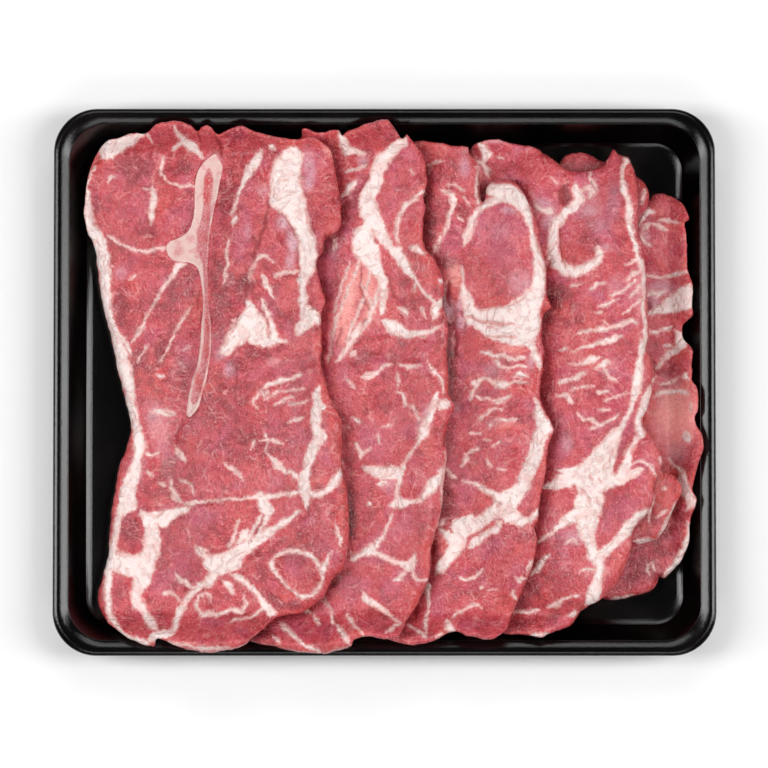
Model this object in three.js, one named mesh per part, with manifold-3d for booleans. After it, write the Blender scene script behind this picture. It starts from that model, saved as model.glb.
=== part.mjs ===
// A foam meat tray with six overlapping slices of pork shoulder, the first with its blade bone.
// Millimetres, +Z up, +X along the tray, origin under the middle of the tray on the surface it stands on.
import * as THREE from "three";
import { mergeVertices } from "three/addons/utils/BufferGeometryUtils.js";
import Module from "manifold-3d";

const wasm = await Module();
wasm.setup();

// Tray
const trayLength = 286;
const trayWidth = 236.5;
const trayDepth = 20;
const lipCornerRadius = 19;
const footCornerRadius = 12;
const floorThickness = 3.5;
const footInset = 14.5; // from the lip's outer edge in to where the inner wall meets the floor
const lipWidth = 5;
const cornerSteps = 6;

// Slices
const sliceThickness = 9;
const layerRise = 10.4; // one slice lifts the next by its thickness and a little air
const edgeRounding = 4.5;
const restGap = 0.5; // air between the lowest slices and the tray
const drapeWidth = 24; // over which a slice climbs onto the one below it
const drapeMargin = 1; // the climb ends this far short of the lower slice's edge
const wallDrapeStart = 3.5;
const wallDrapeWidth = 17;
const reliefHeight = 0.4;
const acrossCells = 12;
const alongCells = 33;
const edgeCrowding = 0.35; // 0 spaces the grid evenly, 1 crowds it to the edges

// Blade bone
const boneGap = 0.35;
const boneReach = 60; // the cutting prism passes right through the slice

// The slices' outlines are stated in pixels of the photograph, which the tray's length turns into millimetres.
const trayLengthInPixels = 663;
const trayMiddlePixel = { x: 384.5, y: 381.5 };
const pixelSize = trayLength / trayLengthInPixels;

// Each outline has four sides in turn: top and bottom run across the slice, left and right along it.
// The left side of every slice but the first lies hidden under its neighbour.
const outlines = {
  slice_1: {
    top: [
      [98, 158], [106, 138], [146, 131], [172, 121], [197, 131], [205, 125],
      [218, 133], [240, 125], [285, 138], [322, 142],
    ],
    right: [
      [322, 142], [336, 175], [340, 230], [323, 252], [320, 283], [326, 300],
      [322, 345], [330, 396], [342, 425], [349, 540], [324, 597],
    ],
    bottom: [
      [108, 623], [130, 638], [159, 639], [205, 652], [240, 647], [272, 621],
      [304, 612], [324, 597],
    ],
    left: [
      [98, 158], [86, 180], [84, 215], [100, 295], [118, 375], [130, 430],
      [124, 450], [110, 520], [98, 600], [108, 623],
    ],
  },
  slice_2: {
    top: [[270, 170], [285, 145], [303, 128], [342, 133], [385, 121], [402, 139], [407, 135]],
    right: [
      [407, 135], [427, 180], [423, 222], [441, 276], [448, 325], [448, 378],
      [454, 408], [444, 440], [442, 505], [429, 578], [399, 637],
    ],
    bottom: [[235, 630], [278, 646], [325, 653], [350, 648], [368, 637], [399, 637]],
    left: [[270, 170], [235, 300], [215, 460], [215, 540], [235, 630]],
  },
  slice_3: {
    top: [
      [375, 175], [398, 148], [418, 139], [468, 146], [479, 170], [482, 201],
      [487, 184], [505, 179], [524, 195],
    ],
    right: [
      [524, 195], [541, 250], [550, 308], [541, 335], [541, 402], [552, 436],
      [545, 475], [537, 520], [533, 562], [506, 630],
    ],
    bottom: [[370, 632], [396, 642], [427, 643], [456, 631], [490, 639], [506, 630]],
    left: [[375, 175], [345, 300], [336, 460], [350, 600], [370, 632]],
  },
  slice_4: {
    top: [
      [455, 175], [482, 139], [514, 142], [552, 156], [571, 170], [598, 167],
      [614, 149], [629, 156],
    ],
    right: [
      [629, 156], [638, 215], [646, 300], [653, 366], [642, 424], [662, 464],
      [652, 502], [631, 532], [629, 553], [600, 599],
    ],
    bottom: [[480, 626], [506, 634], [540, 638], [570, 625], [600, 599]],
    left: [[455, 175], [448, 220], [440, 440], [455, 590], [480, 626]],
  },
  slice_5: {
    top: [[543, 185], [566, 153], [592, 151], [620, 163], [646, 184]],
    right: [
      [646, 184], [648, 207], [634, 250], [631, 350], [644, 440], [677, 480],
      [675, 504], [656, 540],
    ],
    bottom: [[535, 580], [560, 596], [585, 590], [624, 552], [656, 540]],
    left: [[543, 185], [522, 300], [515, 460], [535, 580]],
  },
  slice_6: {
    top: [[624, 215], [650, 196], [664, 191], [685, 204]],
    right: [
      [685, 204], [688, 255], [693, 300], [684, 330], [697, 390], [702, 445],
      [692, 489], [690, 520], [680, 563],
    ],
    bottom: [[588, 588], [607, 599], [638, 595], [660, 577], [680, 563]],
    left: [[624, 215], [590, 330], [570, 490], [588, 588]],
  },
};
const boneOutline = [
  [213, 151], [200, 163], [193, 190], [193, 210], [189, 226], [180, 235],
  [166, 241], [172, 259], [188, 261], [197, 268], [201, 287], [202, 310],
  [198, 360], [187, 405], [184, 413], [190, 417], [199, 406], [210, 360],
  [212, 335], [208, 285], [208, 255], [215, 205], [222, 165],
];

const meatMaterials = Object.keys(outlines).map(
  () => new THREE.MeshStandardMaterial({ color: 0xc0606a, roughness: 0.5, metalness: 0 }),
);
const boneMaterial = new THREE.MeshStandardMaterial({ color: 0xd9b3a8, roughness: 0.55 });
const foamMaterial = new THREE.MeshStandardMaterial({ color: 0x0c0c0d, roughness: 0.4 });

function fromPixel([px, py]) {
  const x = (px - trayMiddlePixel.x) * pixelSize;
  const y = (trayMiddlePixel.y - py) * pixelSize;
  return new THREE.Vector2(x, y);
}

function smoothStep(t) {
  const u = THREE.MathUtils.clamp(t, 0, 1);
  return u * u * (3 - 2 * u);
}

// Distance from a point in to the tray's outer edge, a rectangle with round corners.
function distanceInFromLip(x, y) {
  const qx = Math.abs(x) - trayLength / 2 + lipCornerRadius;
  const qy = Math.abs(y) - trayWidth / 2 + lipCornerRadius;
  const outside = Math.hypot(Math.max(qx, 0), Math.max(qy, 0));
  return lipCornerRadius - outside - Math.min(Math.max(qx, qy), 0);
}

// Distance from a point to a closed outline, positive inside it.
function distanceInside(outline, x, y) {
  let nearest = Infinity;
  let inside = false;
  for (let i = 0; i < outline.length; i++) {
    const a = outline[i];
    const b = outline[(i + 1) % outline.length];
    const ex = b.x - a.x;
    const ey = b.y - a.y;
    const along = ((x - a.x) * ex + (y - a.y) * ey) / (ex * ex + ey * ey);
    const t = THREE.MathUtils.clamp(along, 0, 1);
    nearest = Math.min(nearest, Math.hypot(x - a.x - ex * t, y - a.y - ey * t));
    if (a.y > y !== b.y > y && x < a.x + (ex * (y - a.y)) / ey) inside = !inside;
  }
  return inside ? nearest : -nearest;
}

// A slice's four sides as smooth curves, and its closed outline.
function makeShape(sides) {
  const curve = (name) => new THREE.SplineCurve(sides[name].map(fromPixel));
  const shape = {
    top: curve("top"),
    right: curve("right"),
    bottom: curve("bottom"),
    left: curve("left"),
  };
  const sample = (side) => side.getSpacedPoints(40);
  shape.outline = [
    ...sample(shape.top).slice(0, -1),
    ...sample(shape.right).slice(0, -1),
    ...sample(shape.bottom).reverse().slice(0, -1),
    ...sample(shape.left).reverse().slice(0, -1),
  ];
  return shape;
}

// A point of the slice from two parameters, both 0 to 1, blended from the four sides.
function blendSides(shape, u, v) {
  const top = shape.top.getPointAt(u);
  const bottom = shape.bottom.getPointAt(u);
  const left = shape.left.getPointAt(v);
  const right = shape.right.getPointAt(v);
  const corners = new THREE.Vector2()
    .addScaledVector(shape.top.getPointAt(0), (1 - u) * (1 - v))
    .addScaledVector(shape.top.getPointAt(1), u * (1 - v))
    .addScaledVector(shape.bottom.getPointAt(0), (1 - u) * v)
    .addScaledVector(shape.bottom.getPointAt(1), u * v);
  return new THREE.Vector2()
    .addScaledVector(top, 1 - v)
    .addScaledVector(bottom, v)
    .addScaledVector(left, 1 - u)
    .addScaledVector(right, u)
    .sub(corners);
}

function crowded(step, cells) {
  const even = step / cells;
  const rounded = 0.5 - 0.5 * Math.cos(Math.PI * even);
  return even + (rounded - even) * edgeCrowding;
}

// Height of a slice's underside: the floor, the rise of the walls, and a layer for each slice beneath.
function undersideHeight(beneath, x, y) {
  const wall = smoothStep(1 - (distanceInFromLip(x, y) - wallDrapeStart) / wallDrapeWidth);
  let layers = 0;
  for (const lower of beneath) {
    const inside = distanceInside(lower.outline, x, y) + drapeMargin;
    layers += smoothStep(1 + inside / drapeWidth);
  }
  return floorThickness + restGap + wall * (trayDepth - floorThickness) + layers * layerRise;
}

// Soft swelling of the muscles over the top face.
function muscleRelief(x, y, index) {
  const long = Math.sin(x / 9 + index * 2.1 + 0.6 * Math.sin(y / 31 + index));
  const cross = Math.sin(y / 17 + index * 1.3 + 0.8 * Math.sin(x / 23));
  return reliefHeight * 0.5 * (long + cross);
}

// A quarter-circle profile over the rounded edge: 0 on the outline, 1 on the flat of the slice.
function edgeFullness(inside) {
  const short = 1 - THREE.MathUtils.clamp(inside / edgeRounding, 0, 1);
  return Math.sqrt(1 - short * short);
}

function makeSliceGeometry(shape, beneath, index) {
  const positions = [];
  const indices = [];
  const topRows = [];
  const bottomRows = [];
  for (let j = 0; j <= alongCells; j++) {
    const topRow = [];
    const bottomRow = [];
    for (let i = 0; i <= acrossCells; i++) {
      const p = blendSides(shape, crowded(i, acrossCells), crowded(j, alongCells));
      const onEdge = i === 0 || j === 0 || i === acrossCells || j === alongCells;
      const full = onEdge ? 0 : edgeFullness(Math.max(distanceInside(shape.outline, p.x, p.y), 0.3));
      const middle = undersideHeight(beneath, p.x, p.y) + sliceThickness / 2;
      const swell = muscleRelief(p.x, p.y, index) * full;
      topRow.push(positions.length / 3);
      positions.push(p.x, p.y, middle + (full * sliceThickness) / 2 + swell);
      if (onEdge) {
        bottomRow.push(topRow.at(-1));
      } else {
        bottomRow.push(positions.length / 3);
        positions.push(p.x, p.y, middle - (full * sliceThickness) / 2);
      }
    }
    topRows.push(topRow);
    bottomRows.push(bottomRow);
  }
  for (let j = 0; j < alongCells; j++) {
    for (let i = 0; i < acrossCells; i++) {
      addCell(indices, topRows, i, j, false);
      addCell(indices, bottomRows, i, j, true);
    }
  }
  return makeGeometry(positions, indices);
}

// Two triangles for one cell of a grid whose rows run down the slice, facing up unless turned over.
function addCell(indices, rows, i, j, turned) {
  const a = rows[j][i];
  const b = rows[j][i + 1];
  const c = rows[j + 1][i + 1];
  const d = rows[j + 1][i];
  if (turned) indices.push(a, b, c, a, c, d);
  else indices.push(a, c, b, a, d, c);
}

function makeGeometry(positions, indices) {
  const geometry = new THREE.BufferGeometry();
  geometry.setAttribute("position", new THREE.Float32BufferAttribute(positions, 3));
  geometry.setIndex(indices);
  return geometry;
}

function toSolid(geometry) {
  const bare = new THREE.BufferGeometry();
  bare.setAttribute("position", geometry.getAttribute("position"));
  bare.setIndex(geometry.index);
  const merged = mergeVertices(bare, 1e-4);
  return new wasm.Manifold(
    new wasm.Mesh({
      numProp: 3,
      vertProperties: merged.attributes.position.array,
      triVerts: new Uint32Array(merged.index.array),
    }),
  );
}

function fromSolid(solid) {
  const mesh = solid.getMesh();
  return makeGeometry(Array.from(mesh.vertProperties), Array.from(mesh.triVerts));
}

// The bone's outline drawn in by an inset, as an upright prism through the slice.
function bonePrism(inset) {
  const points = boneOutline.map(fromPixel);
  const drawn = points.map((p, i) => {
    const before = points.at(i - 1);
    const after = points[(i + 1) % points.length];
    const along = after.clone().sub(before).normalize();
    return new THREE.Vector2(p.x - along.y * inset, p.y + along.x * inset);
  });
  const geometry = new THREE.ExtrudeGeometry(new THREE.Shape(drawn), {
    depth: boneReach,
    bevelEnabled: false,
  });
  return toSolid(geometry);
}

// One level line of the tray, a rectangle with round corners.
function trayRing(inset, height) {
  const shrink = (lipCornerRadius - footCornerRadius) * Math.min(inset / footInset, 1);
  const radius = lipCornerRadius - shrink;
  const cx = trayLength / 2 - inset - radius;
  const cy = trayWidth / 2 - inset - radius;
  const ring = [];
  for (let quarter = 0; quarter < 4; quarter++) {
    const sx = quarter === 0 || quarter === 3 ? 1 : -1;
    const sy = quarter < 2 ? 1 : -1;
    for (let k = 0; k <= cornerSteps; k++) {
      const angle = (quarter + k / cornerSteps) * (Math.PI / 2);
      ring.push([sx * cx + radius * Math.cos(angle), sy * cy + radius * Math.sin(angle), height]);
    }
  }
  return ring;
}

// The tray's section as pairs of inset and height, from under the floor, over the lip, to the floor's top.
function traySection() {
  const top = trayDepth;
  return [
    [footInset - 1, 0],
    [footInset - 2.6, 0.5],
    [footInset - 3.6, 1.8],
    [4.6, top - 5.4],
    [3.4, top - 4.2],
    [0.9, top - 3.4],
    [0.15, top - 2.6],
    [0, top - 1.7],
    [0.35, top - 0.8],
    [1.3, top - 0.15],
    [2.6, top],
    [lipWidth - 1, top - 0.3],
    [lipWidth + 0.4, top - 1.3],
    [lipWidth + 1.3, top - 2.6],
    [footInset - 1.8, floorThickness + 2.6],
    [footInset - 0.4, floorThickness + 0.8],
    [footInset + 2, floorThickness],
  ];
}

function makeTrayGeometry() {
  const rings = traySection().map(([inset, height]) => trayRing(inset, height));
  const count = rings[0].length;
  const positions = [0, 0, 0, ...rings.flat(2), 0, 0, floorThickness];
  const last = rings.length * count + 1;
  const at = (ring, k) => 1 + ring * count + (k % count);
  const indices = [];
  for (let k = 0; k < count; k++) {
    indices.push(0, at(0, k + 1), at(0, k));
    for (let ring = 0; ring + 1 < rings.length; ring++) {
      indices.push(at(ring, k), at(ring, k + 1), at(ring + 1, k + 1));
      indices.push(at(ring, k), at(ring + 1, k + 1), at(ring + 1, k));
    }
    indices.push(last, at(rings.length - 1, k), at(rings.length - 1, k + 1));
  }
  return makeGeometry(positions, indices);
}

function makeMesh(name, geometry, material) {
  geometry.computeVertexNormals();
  const mesh = new THREE.Mesh(geometry, material);
  mesh.name = name;
  return mesh;
}

const pack = new THREE.Group();
pack.name = "meat_tray_pack";
pack.add(makeMesh("tray", makeTrayGeometry(), foamMaterial));

const names = Object.keys(outlines);
const shapes = names.map((name) => makeShape(outlines[name]));
const solids = shapes.map((shape, i) => toSolid(makeSliceGeometry(shape, shapes.slice(i + 1), i)));

pack.add(makeMesh("blade_bone", fromSolid(solids[0].intersect(bonePrism(boneGap))), boneMaterial));
solids[0] = solids[0].subtract(bonePrism(0));
names.forEach((name, i) => pack.add(makeMesh(name, fromSolid(solids[i]), meatMaterials[i])));

export default pack;
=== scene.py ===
import bpy
import math
import numpy as np
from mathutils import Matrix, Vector


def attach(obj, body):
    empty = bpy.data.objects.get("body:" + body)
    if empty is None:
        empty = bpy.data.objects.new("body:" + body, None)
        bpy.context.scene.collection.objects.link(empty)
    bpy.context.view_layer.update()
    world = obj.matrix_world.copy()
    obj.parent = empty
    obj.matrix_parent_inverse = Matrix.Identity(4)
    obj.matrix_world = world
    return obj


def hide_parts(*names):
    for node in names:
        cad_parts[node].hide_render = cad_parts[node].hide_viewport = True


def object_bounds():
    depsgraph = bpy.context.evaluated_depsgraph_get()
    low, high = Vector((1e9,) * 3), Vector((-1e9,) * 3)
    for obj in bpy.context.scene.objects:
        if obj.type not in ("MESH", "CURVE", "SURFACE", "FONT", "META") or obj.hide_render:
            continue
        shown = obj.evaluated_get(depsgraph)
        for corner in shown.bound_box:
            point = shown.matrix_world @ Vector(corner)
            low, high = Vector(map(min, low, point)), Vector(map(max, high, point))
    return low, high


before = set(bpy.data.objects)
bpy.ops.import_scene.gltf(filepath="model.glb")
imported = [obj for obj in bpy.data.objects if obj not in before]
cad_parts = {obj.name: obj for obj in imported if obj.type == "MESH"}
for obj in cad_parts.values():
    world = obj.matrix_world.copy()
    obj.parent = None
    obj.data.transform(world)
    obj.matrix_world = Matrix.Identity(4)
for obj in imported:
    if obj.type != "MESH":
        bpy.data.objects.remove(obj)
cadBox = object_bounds()
print("frame loaded")

# Shapes are worked out in millimetres, from under the tray's middle, and become metres in the mesh.
mm = 0.001
perMetre = 1000  # millimetres in a metre

# Where the slices lie is stated in pixels of the photograph, which the tray's length turns into millimetres.
photo = {
    "trayPixels": 663,
    "middle": (384.5, 381.5),
    "side": 768,
}

tray = {
    "length": 286,
    "width": 236.5,
    "depth": 20,
    "lipRadius": 19,
    "footRadius": 12,
    "floor": 3.5,
    "footInset": 14.5,
    "lipWidth": 5,
}

slab = {
    "thickness": 9,
    "layerRise": 10.4,
    "edgeRounding": 4.5,
    "restGap": 0.5,
    "drapeWidth": 24,
    "drapeMargin": 1,
    "wallDrapeStart": 3.5,
    "wallDrapeWidth": 17,
}

# The slow swell of the muscles: two crossed waves, in millimetres for a radian of each.
muscles = {
    "height": 0.4,
    "across": 9,
    "along": 17,
    "acrossBend": 0.6,  # how far the first wave is bent, over bendAlong millimetres
    "bendAlong": 31,
    "alongBend": 0.8,
    "bendAcross": 23,
    "acrossStep": 2.1,  # how far the waves move on from one slice to the next
    "alongStep": 1.3,
}

pixelSize = tray["length"] / photo["trayPixels"]

# The four sides of each slice, in pixels: top and bottom run across it, left and right along it.
# The left side of every slice but the first lies hidden under its neighbour.
outlines = {
    "slice_1": {
        "top": [(98, 158), (100, 148), (106, 138), (117, 137), (131, 132), (146, 131), (158, 123),
            (172, 121), (186, 123), (197, 130), (202, 126), (208, 125), (213, 129), (218, 133), (225, 130),
            (233, 127), (242, 126), (251, 130), (262, 134), (285, 138), (298, 139), (311, 137), (322, 142)],
        "right": [(322, 142), (331, 151), (336, 175), (341, 205), (340, 230), (326, 240), (323, 252),
            (317, 264), (320, 283), (326, 300), (322, 316), (322, 345), (322, 368), (330, 396), (342, 425),
            (342, 465), (348, 497), (349, 540), (343, 568), (331, 583), (324, 597)],
        "bottom": [(108, 623), (130, 638), (154, 646), (159, 639), (178, 646), (205, 652), (240, 647),
            (258, 635), (272, 621), (284, 616), (304, 612), (324, 597)],
        "left": [(98, 158), (90, 166), (84, 192), (84, 220), (94, 252), (100, 295), (108, 330), (118, 375),
            (126, 403), (130, 430), (124, 450), (115, 480), (110, 520), (107, 555), (99, 587), (98, 605),
            (108, 623)],
    },
    "slice_2": {
        "top": [(270, 170), (285, 145), (301, 136), (303, 128), (320, 131), (337, 129), (342, 134),
            (348, 130), (366, 125), (385, 121), (391, 124), (396, 132), (402, 139), (407, 135)],
        "right": [(407, 135), (418, 147), (425, 162), (427, 182), (424, 197), (426, 207), (423, 222),
            (425, 247), (434, 260), (441, 276), (444, 292), (443, 305), (448, 325), (447, 350), (448, 378),
            (450, 400), (454, 408), (450, 420), (444, 440), (447, 458), (443, 485), (442, 505), (438, 525),
            (431, 550), (429, 578), (417, 604), (405, 624), (399, 637)],
        "bottom": [(235, 630), (252, 641), (278, 647), (300, 652), (325, 653), (350, 648), (355, 640),
            (368, 637), (385, 639), (399, 637)],
        "left": [(270, 170), (250, 230), (235, 300), (222, 380), (215, 460), (215, 540), (222, 600),
            (235, 630)],
    },
    "slice_3": {
        "top": [(375, 175), (398, 148), (418, 139), (432, 141), (452, 144), (468, 146), (470, 152),
            (479, 166), (478, 180), (480, 197), (483, 201), (486, 196), (488, 185), (498, 179), (514, 182),
            (524, 195)],
        "right": [(524, 195), (530, 210), (538, 228), (541, 250), (546, 275), (546, 295), (550, 308),
            (544, 316), (541, 335), (543, 357), (540, 385), (541, 402), (549, 422), (552, 436), (547, 450),
            (545, 475), (539, 500), (537, 520), (533, 528), (536, 542), (533, 562), (525, 583), (514, 610),
            (506, 630)],
        "bottom": [(370, 632), (396, 642), (410, 645), (427, 643), (443, 636), (456, 631), (468, 636),
            (490, 639), (506, 630)],
        "left": [(375, 175), (355, 230), (345, 300), (338, 380), (336, 460), (340, 540), (350, 600),
            (370, 632)],
    },
    "slice_4": {
        "top": [(455, 175), (470, 147), (482, 139), (497, 137), (514, 142), (532, 144), (552, 156),
            (571, 170), (598, 167), (608, 158), (614, 149), (620, 154), (629, 156)],
        "right": [(629, 156), (635, 172), (638, 200), (638, 230), (645, 262), (646, 300), (648, 335),
            (645, 350), (653, 366), (651, 388), (647, 410), (642, 424), (657, 448), (662, 464), (654, 482),
            (652, 502), (646, 514), (631, 532), (629, 553), (615, 584), (600, 599)],
        "bottom": [(480, 626), (506, 634), (525, 634), (540, 638), (550, 633), (570, 625), (580, 611),
            (600, 599)],
        "left": [(455, 175), (448, 220), (443, 290), (440, 360), (440, 440), (445, 520), (455, 590),
            (480, 626)],
    },
    "slice_5": {
        "top": [(543, 185), (560, 161), (566, 153), (577, 150), (592, 151), (602, 157), (620, 163),
            (637, 174), (646, 184)],
        "right": [(646, 184), (650, 194), (648, 207), (640, 219), (634, 250), (630, 300), (632, 350),
            (634, 400), (644, 440), (660, 466), (677, 480), (681, 492), (675, 504), (666, 526), (656, 540)],
        "bottom": [(535, 580), (560, 596), (585, 590), (606, 572), (624, 552), (640, 545), (656, 540)],
        "left": [(543, 185), (530, 230), (522, 300), (518, 380), (515, 460), (520, 540), (535, 580)],
    },
    "slice_6": {
        "top": [(624, 215), (640, 202), (650, 198), (656, 192), (664, 191), (676, 195), (685, 204)],
        "right": [(685, 204), (690, 217), (686, 224), (688, 245), (688, 265), (693, 285), (692, 305),
            (692, 316), (684, 325), (684, 337), (692, 350), (692, 375), (697, 390), (698, 410), (695, 420),
            (702, 438), (702, 450), (696, 470), (692, 489), (696, 500), (690, 520), (689, 543), (680, 563)],
        "bottom": [(588, 588), (607, 599), (638, 595), (655, 587), (660, 577), (666, 577), (680, 563)],
        "left": [(624, 215), (606, 260), (590, 330), (576, 410), (570, 490), (574, 555), (588, 588)],
    },
}

boneSides = {
    "top": [(212, 152), (214, 151), (216, 152)],
    "right": [
        (216, 152), (222, 165), (219, 182), (215, 205), (210, 230), (208, 255), (208, 285), (210, 310),
        (212, 335), (210, 360), (205, 385), (199, 406), (191, 417),
    ],
    "bottom": [(186, 414), (188, 417), (191, 417)],
    "left": [
        (212, 152), (204, 158), (196, 171), (193, 190), (193, 210), (189, 226), (180, 235), (168, 240),
        (165, 248), (172, 259), (188, 261), (197, 268), (201, 287), (202, 310), (200, 335), (198, 360),
        (191, 382), (187, 405), (186, 414),
    ],
}

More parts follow.
